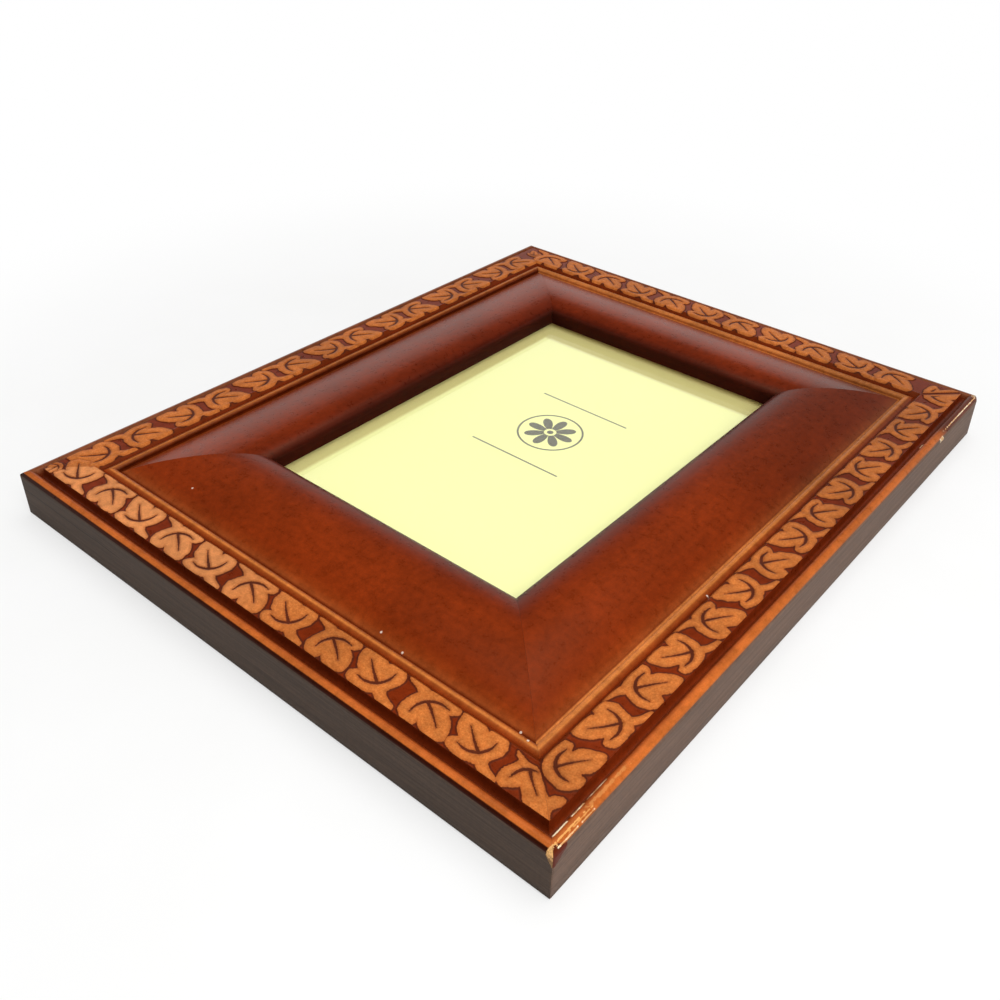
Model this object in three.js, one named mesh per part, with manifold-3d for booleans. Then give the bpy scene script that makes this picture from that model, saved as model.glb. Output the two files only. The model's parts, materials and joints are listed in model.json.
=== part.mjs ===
// A wooden photo frame lying on its back: X across the picture, Y up it, Z out of its front.
// The origin is on the table, under the middle of the frame. All sizes are in millimetres.

import * as THREE from 'three';
import Module from 'manifold-3d';
import { mergeVertices } from 'three/addons/utils/BufferGeometryUtils.js';

const wasm = await Module();
wasm.setup();

// Driving dimensions of what the frame holds, from the back to the front
const PHOTO_W = 88.9;
const PHOTO_H = 127;
const RECESS_DEPTH = 4.2;
const LINING_T = 0.3;
const BOARD_T = 3;
const CARD_T = 0.8;
const SLIP_T = 0.25;
const GLASS_T = 2;

// The moulding, member by member from the outside in, and the heights between them
const ARRIS_W = 0.5;
const OUTER_BEAD_W = 2.9;
const COVE_W = 1.2;
const BAND_W = 9.3;
const STEP_W = 1.1;
const INNER_BEAD_W = 2.6;
const GROOVE_W = 0.5;
const CROWN_RISE_W = 20.1;
const CROWN_FALL_W = 7.8;
const LIP_T = 3.75;
const CROWN_ABOVE_SIGHT = 2.5;
const BAND_BELOW_CROWN = 2.9;
const OUTER_BEAD_BELOW_BAND = 1;
const OUTER_BEAD_H = 1.5;
const OUTER_BEAD_TILT = 0.9;
const ARRIS_H = 0.8;
const STEP_DEPTH = 1.4;
const INNER_BEAD_H = 0.6;
const GROOVE_BELOW_BAND = 2.1;
const BACK_ROUND = 0.6;
const SIGHT_LAP = 3.175;
const LEDGE_W = 13;

// Clearances
const REST_GAP = 0.1;
const GLASS_PLAY = 0.8;
const BOARD_PLAY = 0.5;
const MITRE_GAP = 0.16;
const NAIL_GAP = 0.15;
const SHANK_GAP = 0.3;
const CHANNEL_GAP = 1;

// Corner nails
const NAIL_PLACES = { outer: 11, inner: 24 };
const NAIL_WING = 4.5;
const NAIL_SLOPE = 2.6;
const NAIL_T = 0.7;
const NAIL_H = 6.5;
const NAIL_SUNK = 0.2;

// Easel leg and its hinge
const LEG_L = 122;
const LEG_T = 2.2;
const LEG_HINGE_W = 24;
const LEG_FOOT_W = 30;
const LEG_START = 2.4;
const STAY_ANGLE = THREE.MathUtils.degToRad(35);
const LEAN_ANGLE = THREE.MathUtils.degToRad(18);
const HINGE_W = 22;
const MIDDLE_KNUCKLE_W = 8;
const KNUCKLE_R = 1.5;
const KNUCKLE_GAP = 0.4;
const LEAF_L = 13;
const LEAF_T = 0.6;
const PIN_R = 0.7;
const PIN_GAP = 0.2;
const PIN_PROUD = 0.6;
const STOP_TAB_L = 4;
const STOP_GAP = 0.15;

// Rivets
const RIVET_R = 1;
const RIVET_HEAD_R = 2.2;
const RIVET_HEAD_H = 0.6;
const CLINCH_R = 1.6;
const CLINCH_H = 0.4;
const LEAF_RIVET_AT = 8;
const LEAF_RIVET_PITCH = 11;

// Turn buttons and their screws
const BUTTON_AT = 30;
const BUTTON_L = 12;
const BUTTON_TIP_R = 3.5;
const BUTTON_PIVOT_R = 4.5;
const BUTTON_T = 0.8;
const SCREW_R = 1;
const SCREW_L = 7;
const SCREW_POINT = 2;
const SCREW_HEAD_R = 2.6;
const SCREW_HEAD_H = 1;

// Ring hangers
const HANGER_INSET = 13;
const HANGER_GAP = 1;
const WIRE_R = 0.7;
const WIRE_GAP = 0.15;
const RING_L = 12;
const RING_HALF_W = 8;
const RING_BEND_R = 1.2;
const STRAP_T = 0.5;
const STRAP_W = 7;
const STRAP_L = 9;
const STRAP_RIVET_AT = 5.5;

// Worked out from the above
const SIGHT_W = PHOTO_W - 2 * SIGHT_LAP;
const SIGHT_H = PHOTO_H - 2 * SIGHT_LAP;
const BAND_FROM = ARRIS_W + OUTER_BEAD_W + COVE_W;
const CROWN_FROM = BAND_FROM + BAND_W + STEP_W + INNER_BEAD_W + GROOVE_W;
const RAIL_W = CROWN_FROM + CROWN_RISE_W + CROWN_FALL_W;
const FRAME_W = SIGHT_W + 2 * RAIL_W;
const FRAME_H = SIGHT_H + 2 * RAIL_W;

const LINING_Z = RECESS_DEPTH;
const BOARD_Z = LINING_Z + LINING_T + REST_GAP;
const CARD_Z = BOARD_Z + BOARD_T + REST_GAP;
const SLIP_Z = CARD_Z + CARD_T + REST_GAP;
const GLASS_Z = SLIP_Z + SLIP_T + REST_GAP;
const LIP_Z = GLASS_Z + GLASS_T + REST_GAP;
const SIGHT_Z = LIP_Z + LIP_T;
const CROWN_Z = SIGHT_Z + CROWN_ABOVE_SIGHT;
const BAND_Z = CROWN_Z - BAND_BELOW_CROWN;
const OUTER_BEAD_Z = BAND_Z - OUTER_BEAD_BELOW_BAND;
const GROOVE_Z = BAND_Z - GROOVE_BELOW_BAND;

const RABBET_AT = RAIL_W - SIGHT_LAP - GLASS_PLAY;
const RECESS_AT = RABBET_AT - LEDGE_W;
const BOARD_W = PHOTO_W + 2 * (GLASS_PLAY - BOARD_PLAY);
const BOARD_H = PHOTO_H + 2 * (GLASS_PLAY - BOARD_PLAY);

const PIN_Z = LINING_Z - REST_GAP - KNUCKLE_R;
const LEG_BEHIND = LEG_L * Math.sin(STAY_ANGLE) - PIN_Z;
const LEG_REACH = LEG_L * Math.cos(STAY_ANGLE) * Math.SQRT1_2 + LEG_BEHIND * Math.tan(LEAN_ANGLE);
const HINGE_X = FRAME_W / 2 - LEG_REACH;
const HINGE_Y = LEG_REACH - FRAME_H / 2;

// A hanger's loop lies in from the board's edge, but always outside the hinge
const HINGE_SPAN = (LEAF_L + HINGE_W / 2) * Math.SQRT1_2;
const HANGER_FROM_HINGE = HINGE_SPAN + HANGER_GAP + STRAP_L;
const UPRIGHT_HANGER_AT = Math.max(BOARD_H / 2 - HANGER_INSET, HINGE_Y + HANGER_FROM_HINGE);
const SIDEWAYS_HANGER_AT = Math.max(BOARD_W / 2 - HANGER_INSET, HANGER_FROM_HINGE - HINGE_X);

const LOOP_R = WIRE_R + WIRE_GAP + STRAP_T;
const LOOP_Z = LINING_Z - REST_GAP - LOOP_R;
const RING_APEX = Math.atan(RING_HALF_W / RING_L);
const RING_REACH = RING_L - RING_BEND_R * (1 / Math.sin(RING_APEX) - 1);
const RING_DROOP = Math.asin((LOOP_Z - WIRE_R - REST_GAP) / RING_REACH);
const BUTTON_X = FRAME_W / 2 - (RABBET_AT + RECESS_AT) / 2;
const BUTTON_Z = RECESS_DEPTH - REST_GAP - BUTTON_T;

function finish(color, roughness, metalness = 0) {
  return new THREE.MeshStandardMaterial({ color, roughness, metalness });
}

const MAHOGANY = () => finish(0x8a3c1c, 0.35);
const STEEL = () => finish(0xb9bcc0, 0.35, 1);
const BRASSED = () => finish(0xb08a4a, 0.35, 1);
const FLOCK = () => finish(0x17161a, 0.95);

function toSolid(geometry) {
  const bare = geometry.clone();
  bare.deleteAttribute('normal');
  bare.deleteAttribute('uv');
  const merged = mergeVertices(bare, 1e-4);
  return new wasm.Manifold(new wasm.Mesh({
    numProp: 3,
    vertProperties: Float32Array.from(merged.attributes.position.array),
    triVerts: Uint32Array.from(merged.index.array),
  }));
}

function toGeometry(solid) {
  const mesh = solid.getMesh();
  const geometry = new THREE.BufferGeometry();
  geometry.setAttribute('position', new THREE.BufferAttribute(mesh.vertProperties, 3));
  geometry.setIndex(new THREE.BufferAttribute(mesh.triVerts, 1));
  const facets = geometry.toNonIndexed();
  facets.computeVertexNormals();
  return facets;
}

function join(...geometries) {
  return toGeometry(geometries.map(toSolid).reduce((whole, next) => whole.add(next)));
}

function cut(geometry, cutters) {
  return toGeometry(cutters.map(toSolid).reduce((rest, tool) => rest.subtract(tool), toSolid(geometry)));
}

function add(parent, name, geometry, material) {
  const mesh = new THREE.Mesh(geometry, material);
  mesh.name = name;
  parent.add(mesh);
  return mesh;
}

function placed(parent, x, y, z, turn = 0) {
  const group = new THREE.Group();
  group.position.set(x, y, z);
  group.rotation.z = turn;
  parent.add(group);
  return group;
}

// A plate on the XY plane from z0 up to z1
function plate(shape, z0, z1, curveSegments = 8) {
  const geometry = new THREE.ExtrudeGeometry(shape, { depth: z1 - z0, bevelEnabled: false, curveSegments });
  return geometry.translate(0, 0, z0);
}

function box(x0, x1, y0, y1, z0, z1) {
  const geometry = new THREE.BoxGeometry(x1 - x0, y1 - y0, z1 - z0);
  return geometry.translate((x0 + x1) / 2, (y0 + y1) / 2, (z0 + z1) / 2);
}

// An upright rod at x, y, from z0 to z1
function rod(radius, x, y, z0, z1, sides = 20) {
  const geometry = new THREE.CylinderGeometry(radius, radius, z1 - z0, sides);
  return geometry.rotateX(Math.PI / 2).translate(x, y, (z0 + z1) / 2);
}

// A rod along Y through x = z = 0, from y0 to y1
function barrel(radius, y0, y1, sides = 24) {
  return new THREE.CylinderGeometry(radius, radius, y1 - y0, sides).translate(0, (y0 + y1) / 2, 0);
}

// A turned piece about Z from [radius, height] pairs, given from the bottom up
function turned(pairs, segments = 20) {
  const profile = pairs.map(([radius, height]) => new THREE.Vector2(radius, height));
  return new THREE.LatheGeometry(profile, segments).rotateX(Math.PI / 2);
}

// The moulding's section: x runs inward from the outer face, y up from the back
function railSection() {
  const bead = BAND_FROM - COVE_W - OUTER_BEAD_W;
  const innerBead = CROWN_FROM - GROOVE_W - INNER_BEAD_W;
  const beadFoot = OUTER_BEAD_Z - OUTER_BEAD_H;
  const shoulder = beadFoot + OUTER_BEAD_TILT;
  const stepZ = BAND_Z - STEP_DEPTH;
  const peak = CROWN_FROM + CROWN_RISE_W;
  const section = new THREE.Shape();
  section.moveTo(RECESS_AT, 0);
  section.lineTo(RECESS_AT, RECESS_DEPTH);
  section.lineTo(RABBET_AT, RECESS_DEPTH);
  section.lineTo(RABBET_AT, LIP_Z);
  section.lineTo(RAIL_W, LIP_Z);
  section.lineTo(RAIL_W, SIGHT_Z);
  section.bezierCurveTo(
    RAIL_W - 0.18 * CROWN_FALL_W, SIGHT_Z + 0.64 * CROWN_ABOVE_SIGHT,
    peak + 0.42 * CROWN_FALL_W, CROWN_Z, peak, CROWN_Z);
  section.bezierCurveTo(
    peak - 0.31 * CROWN_RISE_W, CROWN_Z,
    CROWN_FROM + 0.29 * CROWN_RISE_W, GROOVE_Z + 0.62 * (CROWN_Z - GROOVE_Z), CROWN_FROM, GROOVE_Z);
  section.lineTo(CROWN_FROM - GROOVE_W, GROOVE_Z);
  section.lineTo(innerBead + INNER_BEAD_W, stepZ);
  section.bezierCurveTo(
    innerBead + 0.85 * INNER_BEAD_W, stepZ + 1.3 * INNER_BEAD_H,
    innerBead + 0.4 * INNER_BEAD_W, stepZ + 1.2 * INNER_BEAD_H, innerBead, stepZ);
  section.lineTo(BAND_FROM + BAND_W, BAND_Z - 0.2 * STEP_DEPTH);
  section.lineTo(BAND_FROM + BAND_W - 0.3 * STEP_W, BAND_Z);
  section.lineTo(BAND_FROM, BAND_Z);
  section.quadraticCurveTo(BAND_FROM, beadFoot, bead + OUTER_BEAD_W, beadFoot);
  section.bezierCurveTo(
    bead + 0.86 * OUTER_BEAD_W, beadFoot + 1.07 * OUTER_BEAD_H,
    bead + 0.48 * OUTER_BEAD_W, beadFoot + 1.33 * OUTER_BEAD_H, bead, shoulder);
  section.quadraticCurveTo(0, shoulder - 0.5 * ARRIS_H, 0, shoulder - ARRIS_H);
  section.lineTo(0, BACK_ROUND);
  section.quadraticCurveTo(0, 0, BACK_ROUND, 0);
  section.closePath();
  return section;
}

// One rail in the frame's coordinates, its ends drawn in along the mitres
function railBlank(length, outerFace, turn) {
  const geometry = new THREE.ExtrudeGeometry(railSection(), { depth: 1, bevelEnabled: false, curveSegments: 8 });
  const point = geometry.attributes.position;
  for (let i = 0; i < point.count; i++) {
    const inward = point.getX(i);
    const height = point.getY(i);
    const end = point.getZ(i) > 0.5 ? 1 : -1;
    point.setXYZ(i, end * (length / 2 - inward - MITRE_GAP / 2), inward - outerFace, height);
  }
  return geometry.rotateZ(turn);
}

// A corner nail: a chevron of sheet steel that straddles the mitre, its point towards the middle
function nailShape(clearance) {
  const wing = NAIL_WING + clearance;
  const fall = NAIL_SLOPE * wing / NAIL_WING;
  const skin = clearance * Math.hypot(NAIL_WING, NAIL_SLOPE) / NAIL_WING;
  const shape = new THREE.Shape();
  shape.moveTo(0, skin);
  shape.lineTo(-wing, skin - fall);
  shape.lineTo(-wing, -skin - fall - NAIL_T);
  shape.lineTo(0, -skin - NAIL_T);
  shape.lineTo(wing, -skin - fall - NAIL_T);
  shape.lineTo(wing, skin - fall);
  shape.closePath();
  return shape;
}

// The leg's outline along X from the hinge pin, with a clearance round it.
// Its foot has two edges: one stands on the table when the picture is upright, the other when it lies sideways.
function legShape(clearance) {
  const tilt = Math.SQRT1_2 * Math.cos(STAY_ANGLE) * Math.cos(LEAN_ANGLE) + Math.sin(STAY_ANGLE) * Math.sin(LEAN_ANGLE);
  const footSlope = Math.SQRT1_2 * Math.cos(LEAN_ANGLE) / tilt;
  const hingeHalf = LEG_HINGE_W / 2 + clearance;
  const footHalf = LEG_FOOT_W / 2 + clearance;
  const tip = LEG_L + clearance * Math.hypot(1, footSlope);
  const shape = new THREE.Shape();
  shape.moveTo(LEG_START - clearance, -hingeHalf);
  shape.lineTo(tip - footSlope * footHalf, -footHalf);
  shape.lineTo(tip, 0);
  shape.lineTo(tip - footSlope * footHalf, footHalf);
  shape.lineTo(LEG_START - clearance, hingeHalf);
  shape.closePath();
  return shape;
}

// A rivet from its head's top at z = 0 through a grip to its clinched end
function rivet(grip) {
  const headZ = RIVET_HEAD_H;
  const clinchZ = headZ + grip;
  return turned([
    [0, 0], [0.6 * RIVET_HEAD_R, 0.18 * RIVET_HEAD_H], [RIVET_HEAD_R, 0.7 * RIVET_HEAD_H], [RIVET_HEAD_R, headZ],
    [RIVET_R, headZ], [RIVET_R, clinchZ], [CLINCH_R, clinchZ], [CLINCH_R, clinchZ + CLINCH_H],
    [0, clinchZ + CLINCH_H],
  ]);
}

function rivetHole(x, y, z0, z1) {
  return rod(RIVET_R + SHANK_GAP, x, y, z0 - 1, z1 + 1);
}

// The sunk seat of a rivet's clinched end in a face at height z
function clinchSeat(x, y, z) {
  return rod(CLINCH_R + SHANK_GAP, x, y, z - CLINCH_H - REST_GAP, z + 1);
}

const frame = new THREE.Group();

const CORNERS = {
  bottom_left: { sx: -1, sy: -1, turn: -Math.PI / 4 },
  bottom_right: { sx: 1, sy: -1, turn: Math.PI / 4 },
  top_right: { sx: 1, sy: 1, turn: 3 * Math.PI / 4 },
  top_left: { sx: -1, sy: 1, turn: -3 * Math.PI / 4 },
};
const LEG_CORNER = 'bottom_right';

function legPlace(geometry) {
  return geometry.rotateZ(-Math.PI / 4).translate(HINGE_X, HINGE_Y, 0);
}

// Corner nails and their slots; where the leg folds away, they are driven from the bottom of its channel
const nailSlots = [];
for (const [corner, { sx, sy, turn }] of Object.entries(CORNERS)) {
  const foot = NAIL_SUNK + (corner === LEG_CORNER ? RECESS_DEPTH : 0);
  for (const [place, inward] of Object.entries(NAIL_PLACES)) {
    const x = sx * (FRAME_W / 2 - inward);
    const y = sy * (FRAME_H / 2 - inward);
    const nail = placed(frame, x, y, 0, turn);
    add(nail, `v_nail_${corner}_${place}`, plate(nailShape(0), foot, foot + NAIL_H), STEEL());
    nailSlots.push(plate(nailShape(NAIL_GAP), foot - 1.5, foot + NAIL_H + NAIL_GAP).rotateZ(turn).translate(x, y, 0));
  }
}

const buttonPivots = {
  right_top: { x: BUTTON_X, y: BUTTON_AT, turn: Math.PI },
  right_bottom: { x: BUTTON_X, y: -BUTTON_AT, turn: Math.PI },
  left_top: { x: -BUTTON_X, y: BUTTON_AT, turn: 0 },
  left_bottom: { x: -BUTTON_X, y: -BUTTON_AT, turn: 0 },
};
const screwTip = RECESS_DEPTH + SCREW_L;
const screwHoles = Object.values(buttonPivots).map(({ x, y }) =>
  rod(SCREW_R + SHANK_GAP, x, y, RECESS_DEPTH - 1, screwTip + SHANK_GAP, 16));

// The four rails
const legChannel = legPlace(plate(legShape(CHANNEL_GAP), -1, RECESS_DEPTH));
const rails = {
  rail_bottom: { length: FRAME_W, outerFace: FRAME_H / 2, turn: 0 },
  rail_right: { length: FRAME_H, outerFace: FRAME_W / 2, turn: Math.PI / 2 },
  rail_top: { length: FRAME_W, outerFace: FRAME_H / 2, turn: Math.PI },
  rail_left: { length: FRAME_H, outerFace: FRAME_W / 2, turn: -Math.PI / 2 },
};
for (const [name, { length, outerFace, turn }] of Object.entries(rails)) {
  const cutters = [legChannel, ...nailSlots, ...screwHoles];
  add(frame, name, cut(railBlank(length, outerFace, turn), cutters), MAHOGANY());
}

// What the rabbet holds, from the glass back
function sheet(width, height, z, thickness) {
  return box(-width / 2, width / 2, -height / 2, height / 2, z, z + thickness);
}
add(frame, 'glass_pane', sheet(PHOTO_W, PHOTO_H, GLASS_Z, GLASS_T), finish(0xe8f2ee, 0.04));
add(frame, 'photo_slip', sheet(PHOTO_W, PHOTO_H, SLIP_Z, SLIP_T), finish(0xfdf6b4, 0.7));
add(frame, 'filler_card', sheet(PHOTO_W, PHOTO_H, CARD_Z, CARD_T), finish(0x9a958c, 0.9));

// Places of the rivets that go through the board, in the frame's coordinates
function besideHinge(along, across) {
  const reach = new THREE.Vector3(along, across, 0).applyAxisAngle(new THREE.Vector3(0, 0, 1), -Math.PI / 4);
  return [HINGE_X + reach.x, HINGE_Y + reach.y];
}
const boardRivets = {
  rivet_hinge_board_left: besideHinge(-LEAF_RIVET_AT, -LEAF_RIVET_PITCH / 2),
  rivet_hinge_board_right: besideHinge(-LEAF_RIVET_AT, LEAF_RIVET_PITCH / 2),
  rivet_hanger_upright: [0, UPRIGHT_HANGER_AT - STRAP_RIVET_AT],
  rivet_hanger_sideways: [STRAP_RIVET_AT - SIDEWAYS_HANGER_AT, 0],
};
const boardTop = BOARD_Z + BOARD_T;
const throughBoard = Object.values(boardRivets).map(([x, y]) => rivetHole(x, y, LINING_Z, boardTop));
const clinchSeats = Object.values(boardRivets).map(([x, y]) => clinchSeat(x, y, boardTop));
add(frame, 'backing_board', cut(sheet(BOARD_W, BOARD_H, BOARD_Z, BOARD_T), [...throughBoard, ...clinchSeats]),
  finish(0x5c4630, 0.85));
add(frame, 'board_lining', cut(sheet(BOARD_W, BOARD_H, LINING_Z, LINING_T), throughBoard), FLOCK());

// Board rivets: the heads bear on sheet metal whose outer face is given
const leafFace = LINING_Z - REST_GAP - LEAF_T;
const strapFace = LINING_Z - REST_GAP - STRAP_T;
for (const [name, [x, y]] of Object.entries(boardRivets)) {
  const face = name.includes('hinge') ? leafFace : strapFace;
  const foot = face - REST_GAP - RIVET_HEAD_H;
  const grip = boardTop - CLINCH_H - face + REST_GAP;
  add(placed(frame, x, y, foot), name, rivet(grip), BRASSED());
}

// The hinge and the leg, in a group on the pin: X along the leg, Y along the pin
const hinge = placed(frame, HINGE_X, HINGE_Y, PIN_Z, -Math.PI / 4);
const halfMiddle = MIDDLE_KNUCKLE_W / 2;
const knuckleEnds = [[-HINGE_W / 2, -halfMiddle - KNUCKLE_GAP / 2], [halfMiddle + KNUCKLE_GAP / 2, HINGE_W / 2]];
const pinBore = barrel(PIN_R + PIN_GAP, -HINGE_W, HINGE_W);
const leafEdge = KNUCKLE_R + KNUCKLE_GAP;
const rivetRows = [-LEAF_RIVET_PITCH / 2, LEAF_RIVET_PITCH / 2];

let boardLeaf = box(-LEAF_L, -leafEdge, -HINGE_W / 2, HINGE_W / 2, KNUCKLE_R - LEAF_T, KNUCKLE_R);
for (const [y0, y1] of knuckleEnds) {
  boardLeaf = join(boardLeaf, barrel(KNUCKLE_R, y0, y1), box(-leafEdge - LEAF_T, 0, y0, y1, KNUCKLE_R - LEAF_T, KNUCKLE_R));
}
const boardLeafHoles = rivetRows.map((y) => rivetHole(-LEAF_RIVET_AT, y, KNUCKLE_R - LEAF_T, KNUCKLE_R));
add(hinge, 'hinge_leaf_board', cut(boardLeaf, [pinBore, ...boardLeafHoles]), BRASSED());

// The leg's leaf lies on the leg's outer face; its stop tab meets the board's leaf when the leg is open
const tabTop = KNUCKLE_R - LEAF_T - STOP_GAP;
const stopTab = box(-STOP_TAB_L, 0, -halfMiddle + KNUCKLE_GAP, halfMiddle - KNUCKLE_GAP, tabTop - LEAF_T, tabTop);
stopTab.rotateY(-STAY_ANGLE);
const legLeafPlate = join(
  box(leafEdge, LEAF_L, -HINGE_W / 2, HINGE_W / 2, -KNUCKLE_R, LEAF_T - KNUCKLE_R),
  box(0, leafEdge + LEAF_T, -halfMiddle + KNUCKLE_GAP / 2, halfMiddle - KNUCKLE_GAP / 2, -KNUCKLE_R, LEAF_T - KNUCKLE_R),
  barrel(KNUCKLE_R, -halfMiddle + KNUCKLE_GAP / 2, halfMiddle - KNUCKLE_GAP / 2),
  stopTab);
const legLeafHoles = rivetRows.map((y) => rivetHole(LEAF_RIVET_AT, y, -KNUCKLE_R, LEAF_T - KNUCKLE_R));
add(hinge, 'hinge_leaf_leg', cut(legLeafPlate, [pinBore, ...legLeafHoles]), BRASSED());

const pinHalf = HINGE_W / 2 + PIN_PROUD;
const pin = turned([[0, -pinHalf], [0.7 * PIN_R, -pinHalf], [PIN_R, 0.3 * PIN_R - pinHalf],
  [PIN_R, pinHalf - 0.3 * PIN_R], [0.7 * PIN_R, pinHalf], [0, pinHalf]], 16);
add(hinge, 'hinge_pin', pin.rotateX(Math.PI / 2), STEEL());

const legOuter = LEAF_T - KNUCKLE_R + REST_GAP;
const legInner = legOuter + LEG_T;
const legCuts = rivetRows.flatMap((y) => [
  rivetHole(LEAF_RIVET_AT, y, legOuter, legInner),
  clinchSeat(LEAF_RIVET_AT, y, legInner),
]);
add(hinge, 'easel_leg', cut(plate(legShape(0), legOuter, legInner), legCuts), FLOCK());

const legRivetFoot = -KNUCKLE_R - REST_GAP - RIVET_HEAD_H;
const legRivetGrip = legInner - CLINCH_H + KNUCKLE_R + REST_GAP;
['rivet_hinge_leg_left', 'rivet_hinge_leg_right'].forEach((name, i) => {
  add(placed(hinge, LEAF_RIVET_AT, rivetRows[i], legRivetFoot), name, rivet(legRivetGrip), BRASSED());
});

// Turn buttons, closed: the long end reaches over the board's edge
function buttonShape() {
  const reach = BUTTON_L - BUTTON_TIP_R;
  const flank = Math.acos((BUTTON_PIVOT_R - BUTTON_TIP_R) / reach);
  const shape = new THREE.Shape();
  shape.absarc(0, 0, BUTTON_PIVOT_R, flank, 2 * Math.PI - flank, false);
  shape.absarc(reach, 0, BUTTON_TIP_R, -flank, flank, false);
  shape.closePath();
  const eye = new THREE.Path();
  eye.absarc(0, 0, SCREW_R + SHANK_GAP, 0, 2 * Math.PI, true);
  shape.holes.push(eye);
  return shape;
}

const screwHeadZ = BUTTON_Z - REST_GAP - SCREW_HEAD_H;
const screw = () => turned([
  [0, screwHeadZ], [0.55 * SCREW_HEAD_R, screwHeadZ + 0.1 * SCREW_HEAD_H],
  [SCREW_HEAD_R, screwHeadZ + 0.7 * SCREW_HEAD_H], [SCREW_HEAD_R, screwHeadZ + SCREW_HEAD_H],
  [SCREW_R, screwHeadZ + SCREW_HEAD_H], [SCREW_R, screwTip - SCREW_POINT], [0, screwTip],
]);
for (const [place, { x, y, turn }] of Object.entries(buttonPivots)) {
  const pivot = placed(frame, x, y, 0, turn);
  add(pivot, `turn_button_${place}`, plate(buttonShape(), BUTTON_Z, BUTTON_Z + BUTTON_T), STEEL());
  add(pivot, `button_screw_${place}`, screw(), STEEL());
}

// A round wire bent into a closed ring that lies on the XY plane, through the given corners
function wireRing(corners, bendRadius, wireRadius, arcSteps = 5, sides = 8) {
  const path = [];
  corners.forEach((corner, i) => {
    const before = corners[(i + corners.length - 1) % corners.length];
    const after = corners[(i + 1) % corners.length];
    const back = before.clone().sub(corner).normalize();
    const on = after.clone().sub(corner).normalize();
    const half = Math.acos(back.dot(on)) / 2;
    const centre = back.clone().add(on).normalize().multiplyScalar(bendRadius / Math.sin(half)).add(corner);
    const start = corner.clone().addScaledVector(back, bendRadius / Math.tan(half)).sub(centre);
    const sweep = Math.PI - 2 * half;
    for (let k = 0; k <= arcSteps; k++) {
      const radial = start.clone().rotateAround(new THREE.Vector2(), sweep * k / arcSteps);
      path.push({ at: radial.clone().add(centre), outward: radial.normalize() });
    }
  });
  const points = [];
  for (const { at, outward } of path) {
    for (let s = 0; s < sides; s++) {
      const angle = 2 * Math.PI * s / sides;
      const out = wireRadius * Math.cos(angle);
      points.push(at.x + out * outward.x, at.y + out * outward.y, wireRadius * Math.sin(angle));
    }
  }
  const faces = [];
  for (let i = 0; i < path.length; i++) {
    const next = (i + 1) % path.length;
    for (let s = 0; s < sides; s++) {
      const a = i * sides + s;
      const b = i * sides + (s + 1) % sides;
      const c = next * sides + (s + 1) % sides;
      const d = next * sides + s;
      faces.push(a, d, c, a, c, b);
    }
  }
  const ring = new THREE.BufferGeometry();
  ring.setAttribute('position', new THREE.Float32BufferAttribute(points, 3));
  ring.setIndex(faces);
  ring.computeVertexNormals();
  return ring;
}

// Ring hangers, each in a group on its loop: X towards the edge that is uppermost, Y along the loop.
// The ring hangs down from its loop until its tip is close to the table.
function hanger(way, x, y, turn) {
  const loop = placed(frame, x, y, LOOP_Z, turn);
  const strap = join(
    barrel(LOOP_R, -STRAP_W / 2, STRAP_W / 2),
    box(-STRAP_L, 0, -STRAP_W / 2, STRAP_W / 2, LOOP_R - STRAP_T, LOOP_R));
  const holes = [
    barrel(WIRE_R + WIRE_GAP, -STRAP_W, STRAP_W),
    rivetHole(-STRAP_RIVET_AT, 0, LOOP_R - STRAP_T, LOOP_R),
  ];
  add(loop, `hanger_strap_${way}`, cut(strap, holes), BRASSED());
  const corners = [[0, -RING_HALF_W], [RING_L, 0], [0, RING_HALF_W]].map(([u, v]) => new THREE.Vector2(u, v));
  const ring = add(loop, `hanger_ring_${way}`, wireRing(corners, RING_BEND_R, WIRE_R), BRASSED());
  ring.rotation.y = RING_DROOP;
}
hanger('upright', 0, UPRIGHT_HANGER_AT, Math.PI / 2);
hanger('sideways', -SIDEWAYS_HANGER_AT, 0, Math.PI);

export default frame;
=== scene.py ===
"""A wooden photo frame with a carved leaf border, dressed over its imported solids.

Laid out as a Blender add-on and run as a script. Places are in metres in the frame's own coordinates:
X across the picture, Y up it, Z out of its front, with the frame lying on its back at Z = 0.
"""

import json
import math

import bmesh
import bpy
import numpy as np
from bpy.props import FloatProperty, FloatVectorProperty, IntProperty, PointerProperty
from mathutils import Matrix, Vector


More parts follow.
